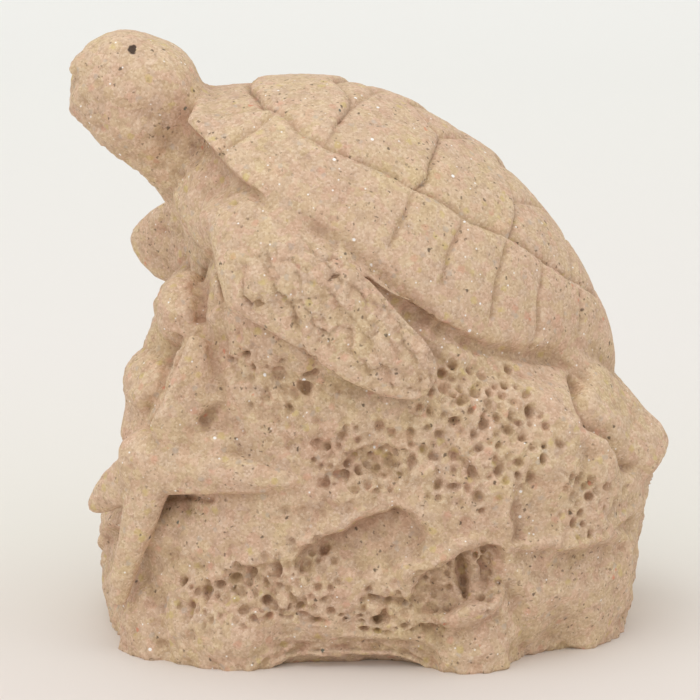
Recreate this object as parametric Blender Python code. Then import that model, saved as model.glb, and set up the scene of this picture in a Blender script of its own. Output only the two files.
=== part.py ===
"""Sand turtle: a sea turtle resting on porous rock with a starfish, cast in one piece of sand and resin.

The whole figure is one solid. Its forms are skinned from sections, fused into one body, carved, thinned to
a light mesh and cut flat below. X runs from the turtle's head to its tail, +Y is the turtle's far side and
Z is up. Sizes here are in millimetres; the finished mesh is scaled to metres.
"""

import math

import bmesh
import bpy
import numpy as np
from mathutils import Matrix, Vector, noise

MM = 0.001

# Shell: a dome on a sloping chord that runs from the neck down to the tail.
SHELL_FRONT = Vector((-16.5, 0.0, 52.6))
SHELL_TAIL = Vector((24.6, 0.0, 24.5))
SHELL_HALF_WIDTH = 18.6
SHELL_WIDEST_AT = 20.0
SHELL_HEIGHT = 12.0
SHELL_RIM_DROOP = 2.2
SHELL_BELLY = 6.5

# Scutes, as distance from the shell's front and distance from its midline.
VERTEBRAL_EDGE = ((5.2, 6.0), (11.4, 0.6), (11.9, 6.6), (16.4, 1.0), (20.4, 5.8), (25.3, 0.8), (30.5, 6.8),
                  (35.2, 0.9), (39.5, 4.6))
COSTAL_EDGE = ((6.3, 9.6), (9.3, 12.1), (14.5, 13.6), (20.0, 13.0), (26.2, 11.9), (30.7, 11.3), (34.3, 9.4),
               (39.5, 5.3), (44.5, 0.0))
COSTAL_SEAMS = (((11.9, 6.6), (12.2, 9.4), (14.5, 13.6)), ((20.4, 5.8), (21.7, 9.4), (21.2, 12.8)),
                ((30.5, 6.8), (31.7, 9.4), (31.1, 11.4)), ((38.9, 0.0), (40.3, 2.6), (39.5, 5.3)))
NUCHAL_SEAM = ((3.4, 14.0), (6.3, 9.6), (5.2, 6.0), (4.2, 0.0))
MARGINAL_SEAMS_AT = (9.6, 15.0, 20.4, 26.2, 31.1, 36.1, 41.2, 45.4)
MARGINAL_SWEEP = 2.0
SEAM_DEPTH = 0.45
SEAM_WIDTH = 0.5
SCUTE_STEP = 0.42

# Head and neck: sections square to a line that climbs from the throat, as (distance along the line, lowest
# point, highest point, half width).
THROAT = Vector((-20.0, 0.0, 43.1))
NECK_LINE = Vector((-0.743, 0.0, 0.669))
HEAD_SECTIONS = ((-9.0, -1.0, 9.0, 6.2), (-4.0, -0.6, 9.8, 5.4), (0.0, 0.0, 10.2, 4.9), (4.3, 0.2, 10.5, 5.0),
                 (7.4, 0.0, 11.2, 5.6), (9.6, 0.0, 11.4, 5.9), (11.4, 0.1, 11.0, 5.6), (12.8, 0.5, 10.2, 4.8),
                 (13.9, 1.2, 9.2, 3.9), (14.8, 2.0, 7.6, 2.9), (15.4, 2.9, 5.4, 1.6))
EYE = (-22.9, 3.1, 58.3)
EYE_PIT_RADIUS = 0.8
EYE_PIT_DEPTH = 0.5
MOUTH = ((-29.6, 0.0, 55.1), (-27.6, 3.8, 54.3), (-24.9, 5.3, 53.2))
MOUTH_DEPTH = 0.35
MOUTH_WIDTH = 0.45

# Flippers, as (leading edge, trailing edge, half thickness) from the shoulder or hip to the tip.
NEAR_FORE_FLIPPER = (((-15.2, -9.5, 42.6), (-10.2, -10.5, 44.6), 3.4),
                     ((-14.8, -14.8, 41.2), (-8.6, -15.2, 44.2), 2.6),
                     ((-14.2, -17.4, 38.4), (-6.7, -17.3, 43.0), 2.1),
                     ((-13.3, -19.0, 35.6), (-4.5, -18.5, 42.1), 1.8),
                     ((-10.0, -20.0, 34.2), (-2.1, -19.0, 41.0), 1.6),
                     ((-6.0, -20.6, 31.8), (0.4, -19.6, 38.8), 1.4),
                     ((-2.2, -21.0, 29.3), (3.2, -20.2, 36.4), 1.3),
                     ((1.2, -21.2, 27.8), (5.3, -20.6, 34.2), 1.2),
                     ((4.0, -21.0, 27.3), (6.4, -20.8, 32.0), 1.1),
                     ((5.5, -20.8, 27.7), (6.7, -20.7, 30.0), 0.9))
FAR_FORE_FLIPPER = (((-15.5, 8.5, 31.8), (-15.6, 8.5, 43.2), 3.4),
                    ((-18.3, 11.5, 31.4), (-19.6, 12.0, 40.7), 2.6),
                    ((-21.0, 13.6, 31.8), (-22.0, 14.0, 39.0), 2.0),
                    ((-22.8, 14.8, 33.2), (-23.5, 15.0, 37.4), 1.5),
                    ((-23.9, 15.3, 34.8), (-24.1, 15.4, 36.2), 1.0))
NEAR_HIND_FLIPPER = (((17.0, -9.0, 27.4), (20.0, -3.0, 27.6), 2.8),
                     ((20.7, -9.6, 24.2), (24.0, -2.6, 24.2), 2.3),
                     ((23.2, -9.3, 21.2), (26.8, -2.4, 21.4), 1.9),
                     ((25.6, -8.4, 18.6), (29.2, -3.4, 20.2), 1.5),
                     ((27.8, -6.9, 16.6), (29.9, -4.4, 18.8), 1.1))
FAR_HIND_SPREAD = 1.3
FAR_HIND_DROP = 3.0
TAIL = (((19.0, -2.6, 24.5), (19.0, 2.6, 24.5), 2.0), ((24.5, -1.9, 23.2), (24.5, 1.9, 23.2), 1.6),
        ((28.2, -0.8, 19.6), (28.2, 0.8, 19.6), 1.0))

# Rock: level sections, as (height, left, right, front, back). It rounds over below the turtle's chest.
ROCK_SECTIONS = ((-2.5, -25.5, 25.5, -18.6, 19.6), (1.5, -26.3, 26.4, -19.6, 20.4),
                 (7.0, -26.8, 27.1, -20.0, 21.0), (12.0, -26.7, 28.0, -20.2, 21.2),
                 (15.5, -25.3, 28.3, -20.2, 21.0), (18.5, -24.0, 28.2, -20.0, 20.6),
                 (22.5, -24.2, 26.6, -19.6, 20.0), (26.0, -23.7, 23.8, -19.2, 18.8),
                 (29.5, -22.4, 16.0, -18.2, 17.2), (32.5, -20.6, 9.0, -16.2, 15.0),
                 (35.0, -17.6, 4.0, -13.2, 12.4), (37.0, -13.6, -1.0, -9.0, 9.0))
ROCK_SQUARENESS = 2.5

# Rounded outcrops, as (centre, radii): on the rock's left shoulder and feet, then behind the two flippers.
LUMPS = (((-17.5, -6.0, 30.0), (4.0, 5.0, 4.4)), ((-19.6, -7.0, 25.0), (4.2, 6.0, 6.0)),
         ((-17.0, 6.0, 30.0), (4.4, 6.0, 5.0)), ((10.0, -17.6, 3.0), (7.5, 3.0, 5.0)),
         ((-13.5, -16.8, 2.5), (8.0, 2.8, 4.6)), ((-4.5, -15.0, 33.0), (9.5, 4.6, 7.5)),
         ((-6.0, 12.0, 34.0), (9.0, 6.0, 6.0)), ((-14.0, 8.6, 37.4), (4.4, 5.0, 5.6)))
CHEST = ((-8.2, 0.0, 39.0), (9.6, 13.0, 9.0))

# Starfish: five arms from a centre that wraps the rock's left front corner, as (tip, half width at its
# root).
STAR_CENTRE = Vector((-19.8, -15.4, 18.4))
STAR_ARMS = (((-15.6, -15.4, 32.0), 3.3), ((-6.6, -20.3, 17.9), 2.9), ((-24.4, -14.0, 4.2), 2.9),
             ((-26.8, -9.2, 13.6), 2.9), ((-22.2, -4.6, 24.6), 2.2))
STAR_INSIDE = Vector((-8.0, -16.0, 0.0))
STAR_TAPER = 0.62
STAR_ARCH = 0.9
STAR_FLATNESS = 0.85

# Terraces: coral shelves on the rock's faces. Each crest is a line of (across, up); the face steps back
# below it by the depth and comes forward again within the reach.
TERRACES = ((((-7.6, 12.4), (-6.5, 14.8), (-2.2, 16.8), (3.1, 17.5), (5.0, 18.8), (7.4, 19.6)), 2.0, 4.6),
            (((1.4, 9.2), (3.1, 10.2), (5.5, 11.0), (7.9, 12.3), (9.9, 13.0), (12.2, 12.6)), 2.2, 3.8),
            (((4.6, 4.6), (8.0, 5.3), (10.4, 6.1), (13.0, 7.2)), 1.6, 2.8),
            (((-17.5, 8.0), (-13.0, 10.2), (-8.4, 12.0)), 0.9, 2.6),
            (((-4.0, 22.4), (-0.7, 23.5), (2.6, 23.5), (6.4, 22.6)), 1.1, 3.4),
            (((13.4, 12.2), (18.6, 12.3), (23.0, 12.2), (27.4, 11.0)), 1.0, 3.2))
TERRACE_LIP = 0.3
TERRACE_TOP = 29.0
# The upright step between the front's terraces and its smoother right end, as
# (across, low, high, depth, reach).
FLANK_STEP = (13.8, 12.0, 19.6, 1.2, 5.5)
# Hollows pushed in from the face, as (centre, radii, depth).
HOLLOWS = (((-9.8, -19.0, 27.0), (6.4, 4.0, 5.6), 2.0), ((-15.4, -15.5, 24.0), (2.4, 4.0, 3.0), 1.6),
           ((9.6, -20.0, 9.4), (1.1, 4.0, 2.4), 1.8), ((11.8, -19.6, 9.9), (1.0, 4.0, 1.7), 1.2),
           ((-17.0, -18.0, 16.0), (4.2, 3.5, 1.1), 1.8), ((1.2, -20.0, 3.8), (1.2, 3.0, 1.4), 2.0),
           ((-20.4, -15.6, 11.5), (1.5, 3.0, 5.4), 1.3), ((-19.4, -9.5, 34.0), (2.4, 4.0, 2.0), 1.2))
# The groove that parts the near hind flipper from the rock in front of it.
HIND_GROOVE = ((20.2, -11.6, 26.2), (22.2, -11.4, 23.2), (24.6, -10.4, 20.4), (27.4, -8.6, 17.2))
HIND_GROOVE_DEPTH = 1.1
HIND_GROOVE_WIDTH = 0.9
# The dark line under the shell's rim where it meets the rock, from this far behind the shell's front.
CREVICE_FROM = 21.0
CREVICE_DEPTH = 1.3
CREVICE_BELOW = 2.0
CREVICE_WIDTH = 0.9
# Lumpiness of the broad faces: its height and how finely the two waves repeat.
LUMPINESS = 0.55
COARSE_WAVE = 0.16
FINE_WAVE = 0.45
# The low arch under the front of the base, between its two feet.
ARCH_FROM = -10.5
ARCH_TO = 6.6
ARCH_HEIGHT = 3.0
ARCH_STARTS_AT = -9.0
ARCH_REACH = 7.0
ARCH_TOP = 6.0

# Surface resolution: the fused body, and the light mesh that it is thinned to.
VOXEL = 0.42
SMOOTH_PASSES = 4
TRIANGLES = 9300
RINGS_IN_SHELL = 31


def section(bm, centre, across, up, power=2.0, sides=32):
    """One closed ring: a superellipse that reaches `across` and `up` from its centre."""
    ring = bmesh.ops.create_circle(bm, cap_ends=False, segments=sides, radius=1.0)["verts"]
    for vert in ring:
        angle = math.atan2(vert.co.y, vert.co.x)
        c, s = math.cos(angle), math.sin(angle)
        a = math.copysign(abs(c) ** (2.0 / power), c)
        b = math.copysign(abs(s) ** (2.0 / power), s)
        vert.co = centre + across * a + up * b
    return ring


def ring_edges(ring):
    """The edges that lie in one ring."""
    inside = set(ring)
    return [e for v in ring for e in v.link_edges if e.other_vert(v) in inside]


def skin(bm, rings):
    """Bridges a row of rings and closes both ends."""
    edges = [list(set(ring_edges(ring))) for ring in rings]
    for first, second in zip(edges, edges[1:]):
        bmesh.ops.bridge_loops(bm, edges=first + second)
    bmesh.ops.holes_fill(bm, edges=edges[0] + edges[-1], sides=0)


def finish_form(bm, name):
    """Closes a form's mesh with its faces pointing out."""
    bmesh.ops.recalc_face_normals(bm, faces=bm.faces)
    mesh = bpy.data.meshes.new(name)
    bm.to_mesh(mesh)
    bm.free()
    return mesh


SHELL_CHORD = SHELL_TAIL - SHELL_FRONT
SHELL_LENGTH = SHELL_CHORD.length
SHELL_ALONG = SHELL_CHORD.normalized()
SHELL_UP = Vector((-SHELL_ALONG.z, 0.0, SHELL_ALONG.x))


def shell_half_width(x):
    """The shell's plan: blunt in front, widest a little before the middle, pointed at the tail."""
    x = np.asarray(x, float)
    ahead = np.clip((SHELL_WIDEST_AT - x) / SHELL_WIDEST_AT, 0, 1)
    behind = np.clip((x - SHELL_WIDEST_AT) / (SHELL_LENGTH - SHELL_WIDEST_AT), 0, 1)
    return SHELL_HALF_WIDTH * np.where(x < SHELL_WIDEST_AT, (1 - ahead ** 2.6) ** 0.5, 1 - behind ** 2.4)


def shell_crest(x):
    """Height of the dome's ridge above the chord."""
    t = 2 * np.asarray(x, float) / SHELL_LENGTH - 1
    away = np.clip(np.abs(t), 0, 1)
    return SHELL_HEIGHT * np.where(t < 0, 1 - away ** 2.9, (1 - away ** 1.7) ** 0.68)


def shell_droop(x, v):
    """How far the rim hangs below the chord at the sides."""
    t = 2 * np.asarray(x, float) / SHELL_LENGTH - 1
    return SHELL_RIM_DROOP * v ** 2 * (1 - t ** 2)


def dome_rise(v):
    """The dome's cross-section: 1 on the midline and 0 at the rim, where it stands steep."""
    return (1 - np.clip(v, 0, 1) ** 2.2) ** 0.75


def shell_form():
    bm = bmesh.new()
    rings = []
    for i in range(RINGS_IN_SHELL):
        x = SHELL_LENGTH * (0.5 - 0.5 * math.cos(math.pi * (i + 0.35) / (RINGS_IN_SHELL - 0.3)))
        width = float(shell_half_width(x))
        top = float(shell_crest(x))
        belly = SHELL_BELLY * (1 - (2 * x / SHELL_LENGTH - 1) ** 4)
        ring = bmesh.ops.create_circle(bm, cap_ends=False, segments=64, radius=1.0)["verts"]
        for vert in ring:
            v, side = vert.co.x, vert.co.y
            height = top * dome_rise(abs(v)) if side > 0 else -belly * (1 - v * v) ** 1.3
            height -= float(shell_droop(x, abs(v)))
            vert.co = SHELL_FRONT + SHELL_ALONG * x + SHELL_UP * height + Vector((0, 1, 0)) * (width * v)
        rings.append(ring)
    skin(bm, rings)
    return finish_form(bm, "shell")


def head_form():
    bm = bmesh.new()
    up = Vector((-NECK_LINE.z, 0.0, NECK_LINE.x)) * -1
    rings = []
    for along, low, high, half in HEAD_SECTIONS:
        centre = THROAT + NECK_LINE * along + up * ((low + high) / 2)
        rings.append(section(bm, centre, Vector((0, half, 0)), up * ((high - low) / 2), 2.25))
    skin(bm, rings)
    return finish_form(bm, "head")


def blade_form(name, stations, sides=28):
    """A flipper: flat oval sections, each as wide as the gap between the blade's two edges there."""
    bm = bmesh.new()
    middles = [(Vector(lead) + Vector(trail)) / 2 for lead, trail, _ in stations]
    rings = []
    for i, (lead, trail, half_thick) in enumerate(stations):
        along = (middles[min(i + 1, len(middles) - 1)] - middles[max(i - 1, 0)]).normalized()
        across = (Vector(trail) - Vector(lead)) / 2
        thick = along.cross(across).normalized() * half_thick
        rings.append(section(bm, middles[i], across, thick, 2.5, sides))
    skin(bm, rings)
    return finish_form(bm, name)


def rock_form():
    bm = bmesh.new()
    rings = []
    for height, left, right, front, back in ROCK_SECTIONS:
        centre = Vector(((left + right) / 2, (front + back) / 2, height))
        across = Vector(((right - left) / 2, 0, 0))
        deep = Vector((0, (back - front) / 2, 0))
        rings.append(section(bm, centre, across, deep, ROCK_SQUARENESS, 72))
    skin(bm, rings)
    return finish_form(bm, "rock")


def lump_form(name, centre, radii):
    """A rounded outcrop."""
    bm = bmesh.new()
    bmesh.ops.create_icosphere(bm, subdivisions=3, radius=1.0)
    bmesh.ops.scale(bm, vec=radii, verts=bm.verts)
    bmesh.ops.translate(bm, vec=centre, verts=bm.verts)
    return finish_form(bm, name)


def star_form(name, tip, half_root, steps=6):
    """One arm, from the star's centre to its tip: diamond sections that taper and stand proud of the rock."""
    bm = bmesh.new()
    tip = Vector(tip)
    along = (tip - STAR_CENTRE).normalized()
    out_at_tip = Vector((tip.x / 2, tip.y, 0))
    rings = []
    for k in range(steps):
        t = k / (steps - 1)
        out = STAR_INSIDE.lerp(out_at_tip, t).normalized()
        wide = along.cross(out).normalized()
        size = half_root * (1 - STAR_TAPER * t)
        centre = STAR_CENTRE.lerp(tip, t) + out * (STAR_ARCH * math.sin(math.pi * t))
        rings.append(section(bm, centre, wide * size, out * size * STAR_FLATNESS, 1.8, 16))
    skin(bm, rings)
    return finish_form(bm, name)


def fuse(meshes):
    """Joins the forms and wraps them in one closed surface."""
    bm = bmesh.new()
    for mesh in meshes:
        bm.from_mesh(mesh)
        bpy.data.meshes.remove(mesh)
    joined = bpy.data.meshes.new("forms")
    bm.to_mesh(joined)
    bm.free()
    obj = bpy.data.objects.new("forms", joined)
    bpy.context.scene.collection.objects.link(obj)
    wrap = obj.modifiers.new("wrap", "REMESH")
    wrap.mode = "VOXEL"
    wrap.voxel_size = VOXEL
    return settle(obj)


def settle(obj):
    """The mesh that an object's modifiers give, with the object removed."""
    graph = bpy.context.evaluated_depsgraph_get()
    mesh = bpy.data.meshes.new_from_object(obj.evaluated_get(graph))
    bpy.data.objects.remove(obj)
    return mesh


def read_points(mesh):
    points = np.empty(len(mesh.vertices) * 3)
    mesh.vertices.foreach_get("co", points)
    return points.reshape(-1, 3)


def read_normals(mesh):
    normals = np.empty(len(mesh.vertices) * 3)
    mesh.vertex_normals.foreach_get("vector", normals)
    return normals.reshape(-1, 3)


def write_points(mesh, points):
    mesh.vertices.foreach_set("co", points.ravel())
    mesh.update()


def relax(mesh, passes, factor=0.5):
    """Evens out the surface by moving each point towards its neighbours' middle."""
    edges = np.empty(len(mesh.edges) * 2, int)
    mesh.edges.foreach_get("vertices", edges)
    a, b = edges.reshape(-1, 2).T
    points = read_points(mesh)
    count = np.bincount(a, minlength=len(points)) + np.bincount(b, minlength=len(points))
    for _ in range(passes):
        total = np.zeros_like(points)
        for axis in range(3):
            total[:, axis] += np.bincount(a, points[b, axis], len(points))
            total[:, axis] += np.bincount(b, points[a, axis], len(points))
        points += factor * (total / count[:, None] - points)
    write_points(mesh, points)


def distance_to_line(x, y, line):
    """Distance in the plane from each point to a line of points."""
    best = np.full(len(x), 1e9)
    for (x0, y0), (x1, y1) in zip(line, line[1:]):
        dx, dy = x1 - x0, y1 - y0
        t = np.clip(((x - x0) * dx + (y - y0) * dy) / (dx * dx + dy * dy), 0, 1)
        best = np.minimum(best, np.hypot(x - x0 - t * dx, y - y0 - t * dy))
    return best


def seam_ahead(x, y, line):
    """True where a point lies ahead of a seam that runs across the shell."""
    knots = sorted((p[1], p[0]) for p in line)
    return x < np.interp(y, [k[0] for k in knots], [k[1] for k in knots])


def carve_shell(points, normals):
    """Cuts the seams between the scutes and lifts each scute's rear edge."""
    local = points - np.array(SHELL_FRONT)
    x = local @ np.array(SHELL_ALONG)
    height = local @ np.array(SHELL_UP)
    y = np.abs(points[:, 1])
    width = np.maximum(shell_half_width(x), 0.1)
    v = np.clip(y / width, 0, 1)
    roof = shell_crest(x) * dome_rise(v) - shell_droop(x, v)
    on_dome = (x > -1) & (x < SHELL_LENGTH + 1) & (y < width + 1.2) & (height > roof - 1.6) & (height > -3.4)
    cut = np.zeros(len(points))
    seams = [VERTEBRAL_EDGE, COSTAL_EDGE, NUCHAL_SEAM] + list(COSTAL_SEAMS)
    for at in MARGINAL_SEAMS_AT:
        inner = float(np.interp(at, [p[0] for p in COSTAL_EDGE], [p[1] for p in COSTAL_EDGE]))
        outer = float(shell_half_width(at + MARGINAL_SWEEP)) + 1.0
        seams.append(((at, inner), (at + MARGINAL_SWEEP, outer)))
    for seam in seams:
        cut = np.maximum(cut, SEAM_DEPTH * np.exp(-(distance_to_line(x, y, seam) / SEAM_WIDTH) ** 2))
    step = np.zeros(len(points))
    costal = y < np.interp(x, [p[0] for p in COSTAL_EDGE], [p[1] for p in COSTAL_EDGE])
    for seam in COSTAL_SEAMS:
        near = np.exp(-distance_to_line(x, y, seam) / 2.6) * costal
        step += np.where(seam_ahead(x, y, seam), near, -near) * SCUTE_STEP
    out = np.where(on_dome, step - cut, 0.0)
    below_rim = height + shell_droop(x, 1.0) + CREVICE_BELOW
    under = np.exp(-(below_rim / CREVICE_WIDTH) ** 2) * (np.abs(y - width + 0.8) < 3.2) * (points[:, 1] < 0)
    under = under * np.clip((x - CREVICE_FROM) / 3, 0, 1) * np.clip((SHELL_LENGTH - 3 - x) / 3, 0, 1)
    out -= CREVICE_DEPTH * under
    return points + normals * out[:, None]


def distance_to_path(points, path):
    """Distance in space from each point to a line of points."""
    best = np.full(len(points), 1e9)
    for start, end in zip(path, path[1:]):
        start, run = np.array(start), np.array(end) - np.array(start)
        t = np.clip((points - start) @ run / (run @ run), 0, 1)
        best = np.minimum(best, np.linalg.norm(points - start - t[:, None] * run, axis=1))
    return best


def carve_head(points, normals):
    """Sinks the eye pits and draws the closed mouth back from the beak, alike on both sides."""
    near = np.column_stack((points[:, 0], np.abs(points[:, 1]), points[:, 2]))
    out = -EYE_PIT_DEPTH * np.exp(-(np.linalg.norm(near - np.array(EYE), axis=1) / EYE_PIT_RADIUS) ** 2)
    out -= MOUTH_DEPTH * np.exp(-(distance_to_path(near, MOUTH) / MOUTH_WIDTH) ** 2)
    return points + normals * out[:, None]


def terrace(x, z, crest, depth, reach):
    """How far the face steps back below one crest."""
    xs = [p[0] for p in crest]
    below = np.interp(x, xs, [p[1] for p in crest]) - z
    ends = np.clip((x - xs[0] + 0.6) / 1.8, 0, 1) * np.clip((xs[-1] + 0.6 - x) / 1.8, 0, 1)
    bowl = np.clip(below / 0.7, 0, 1) * np.clip(1 - below / reach, 0, 1) ** 0.8
    lip = TERRACE_LIP * np.exp(-((below + 0.5) / 0.7) ** 2)
    return ends * (lip - depth * bowl)


def face_relief(x, z):
    """All terraces of one face, as a height out of it."""
    relief = sum(terrace(x, z, crest, depth, reach) for crest, depth, reach in TERRACES)
    at, low, high, depth, reach = FLANK_STEP
    beyond = x - at
    window = np.clip((z - low) / 1.5, 0, 1) * np.clip((high - z) / 1.5, 0, 1)
    return relief - depth * window * np.clip(beyond / 0.8, 0, 1) * np.clip(1 - beyond / reach, 0, 1)


def carve_rock(points, normals):
    """Cuts the terraces on all four faces, pushes the hollows in and roughens the broad faces."""
    x, y, z = points.T
    out = np.zeros(len(points))
    for centre, radii, depth in HOLLOWS:
        away = np.sqrt((((points - np.array(centre)) / np.array(radii)) ** 2).sum(1))
        out -= depth * np.clip(1 - away ** 2, 0, None) ** 1.5
    out -= HIND_GROOVE_DEPTH * np.exp(-(distance_to_path(points, HIND_GROOVE) / HIND_GROOVE_WIDTH) ** 2)
    front = np.clip(-normals[:, 1] * 1.6, 0, 1) * (y < -8)
    back = np.clip(normals[:, 1] * 1.6, 0, 1) * (y > 8)
    right = np.clip(normals[:, 0] * 1.6 - 0.4, 0, 1) * (x > 14)
    low = np.clip((TERRACE_TOP - z) / 3.0, 0, 1)
    bare = low * (away_from_star(points) > 3.0)
    out += front * bare * face_relief(x, z)
    out += back * low * face_relief(2.0 - x, z + 1.5) * 0.8
    left = np.clip(-normals[:, 0] * 1.6 - 0.4, 0, 1) * (x < -14)
    out += right * low * face_relief(y * 0.8 - 2.0, z - 2.0) * 0.7
    out += left * bare * face_relief(2.0 - y * 0.8, z + 0.5) * 0.7
    wave = [noise.noise(Vector(p) * COARSE_WAVE) + 0.4 * noise.noise(Vector(p) * FINE_WAVE) for p in points]
    below_shell = (points - np.array(SHELL_FRONT)) @ np.array(SHELL_UP) < -3.0
    out += np.where(below_shell & (z < 34), LUMPINESS * np.array(wave), 0.0)
    return points + normals * out[:, None]


def away_from_star(points):
    """Distance from each point to the nearest arm's line."""
    return np.min([distance_to_path(points, (STAR_CENTRE, tip)) for tip, _ in STAR_ARMS], axis=0)


def lift_arch(points):
    """The front of the base rises off the ground between its two broad feet."""
    x, y, z = points.T
    middle = (ARCH_FROM + ARCH_TO) / 2
    half = (ARCH_TO - ARCH_FROM) / 2
    span = np.clip(1 - np.abs((x - middle) / half) ** 2.4, 0, 1)
    forward = np.clip((ARCH_STARTS_AT - y) / ARCH_REACH, 0, 1)
    low = np.clip((ARCH_TOP - z) / ARCH_TOP, 0, 1.4)
    points[:, 2] = z + ARCH_HEIGHT * span * forward * low
    return points


def thin(mesh, triangles):
    obj = bpy.data.objects.new("thin", mesh)
    bpy.context.scene.collection.objects.link(obj)
    even = obj.modifiers.new("even", "TRIANGULATE")
    even.min_vertices = 4
    less = obj.modifiers.new("less", "DECIMATE")
    less.ratio = triangles / (2 * len(mesh.polygons))
    return settle(obj)


def cut_flat(mesh):
    """Cuts the base level at Z = 0 and closes it."""
    bm = bmesh.new()
    bm.from_mesh(mesh)
    everything = bm.verts[:] + bm.edges[:] + bm.faces[:]
    ground = (0, 0, 0)
    down = (0, 0, -1)
    bmesh.ops.bisect_plane(bm, geom=everything, dist=0.0001, plane_co=ground, plane_no=down, clear_outer=True)
    rim = [e for e in bm.edges if e.is_boundary]
    bmesh.ops.holes_fill(bm, edges=rim, sides=0)
    bmesh.ops.triangulate(bm, faces=bm.faces[:])
    bm.to_mesh(mesh)
    bm.free()


def sand_material():
    material = bpy.data.materials.new("cast_sand")
    material.use_nodes = True
    shader = material.node_tree.nodes["Principled BSDF"]
    shader.inputs["Base Color"].default_value = (0.52, 0.40, 0.29, 1.0)
    shader.inputs["Roughness"].default_value = 0.85
    shader.inputs["Metallic"].default_value = 0.0
    return material


def far_side(point):
    """The hind flipper's point mirrored to the far side, where the blade spreads wider and lies lower."""
    return (point[0], -point[1] * FAR_HIND_SPREAD, point[2] - FAR_HIND_DROP)


def forms():
    """Every form of the casting, as closed meshes that overlap where they join."""
    made = [shell_form(), head_form(), rock_form()]
    made.append(blade_form("near_fore_flipper", NEAR_FORE_FLIPPER))
    made.append(blade_form("far_fore_flipper", FAR_FORE_FLIPPER))
    made.append(blade_form("near_hind_flipper", NEAR_HIND_FLIPPER))
    far_hind = [(far_side(lead), far_side(trail), thick) for lead, trail, thick in NEAR_HIND_FLIPPER]
    made.append(blade_form("far_hind_flipper", far_hind))
    made.append(blade_form("tail", TAIL))
    for centre, radii in LUMPS + (CHEST,):
        made.append(lump_form("lump", centre, radii))
    for tip, root in STAR_ARMS:
        made.append(star_form("star_arm", tip, root))
    return made


def build():
    for obj in list(bpy.data.objects):
        bpy.data.objects.remove(obj)
    mesh = fuse(forms())
    relax(mesh, SMOOTH_PASSES)
    points = carve_rock(read_points(mesh), read_normals(mesh))
    write_points(mesh, points)
    relax(mesh, 1)
    points = carve_shell(read_points(mesh), read_normals(mesh))
    points = carve_head(points, read_normals(mesh))
    write_points(mesh, lift_arch(points))
    mesh = thin(mesh, TRIANGLES)
    cut_flat(mesh)
    mesh.transform(Matrix.Scale(MM, 4))
    mesh.name = "sand_turtle"
    mesh.materials.clear()
    mesh.materials.append(sand_material())
    turtle = bpy.data.objects.new("sand_turtle", mesh)
    bpy.context.scene.collection.objects.link(turtle)
    return turtle


build()
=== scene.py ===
"""A sea turtle lying over porous rock with a starfish, cast in one piece of sand and resin.

Sizes are in millimetres until the finished casting is scaled to metres. X runs from the turtle's head to its
tail, +Y is its far side and Z is up.
"""
import math

import bmesh
import bpy
import numpy as np
from mathutils import Matrix, Vector, kdtree, noise


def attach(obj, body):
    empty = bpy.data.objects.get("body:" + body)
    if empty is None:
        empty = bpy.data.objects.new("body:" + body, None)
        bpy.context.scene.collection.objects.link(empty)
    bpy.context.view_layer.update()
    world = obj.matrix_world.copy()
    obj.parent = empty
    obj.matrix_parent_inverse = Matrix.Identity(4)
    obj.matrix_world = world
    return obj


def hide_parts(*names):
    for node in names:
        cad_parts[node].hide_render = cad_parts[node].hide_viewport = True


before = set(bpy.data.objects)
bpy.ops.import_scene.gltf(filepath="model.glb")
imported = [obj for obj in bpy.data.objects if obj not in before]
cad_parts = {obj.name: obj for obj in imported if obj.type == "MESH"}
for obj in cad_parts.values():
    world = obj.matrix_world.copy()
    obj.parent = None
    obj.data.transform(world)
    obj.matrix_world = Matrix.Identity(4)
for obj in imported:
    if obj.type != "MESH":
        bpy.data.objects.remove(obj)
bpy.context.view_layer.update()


# ------------------------------------------------------------
# The rock. A rounded block of coral rock that fills the mould's foot and carries the turtle, modelled as
# level sections that lean in towards the chest, with outcrops behind the flippers and at its two feet.
ROCK_SECTIONS = (
    (-2.5, -25.4, 25.9, -18.6, 19.6), (1.5, -26.3, 26.6, -19.4, 20.4), (7.0, -26.8, 27.1, -20.0, 21.0),
    (12.0, -26.7, 28.0, -20.2, 21.2), (15.5, -24.5, 28.3, -20.2, 21.0), (18.5, -22.8, 28.2, -20.0, 20.6),
    (22.5, -23.0, 26.6, -19.6, 20.0), (26.0, -23.4, 23.8, -19.2, 18.8), (29.5, -21.5, 16.0, -18.2, 17.2),
    (32.5, -20.0, 9.0, -16.2, 15.0), (35.0, -17.6, 4.0, -13.2, 12.4), (37.0, -13.6, -1.0, -9.0, 9.0))
FEET = (
    ((-2.5, -20.4, -2.0, -19.0, -1.0), (0.0, -21.0, -2.0, -19.8, -0.2), (3.0, -21.6, -2.0, -19.9, -0.2),
     (6.5, -21.0, -3.0, -19.7, -1.0), (9.5, -19.0, -4.0, -18.6, -2.0)),
    ((-2.5, 5.2, 14.4, -20.0, -8.0), (0.0, 4.8, 14.8, -20.7, -7.4), (3.0, 4.4, 15.0, -20.7, -7.4),
     (6.5, 4.8, 14.4, -20.3, -7.4), (9.0, 6.0, 13.0, -19.4, -7.4)))
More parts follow.
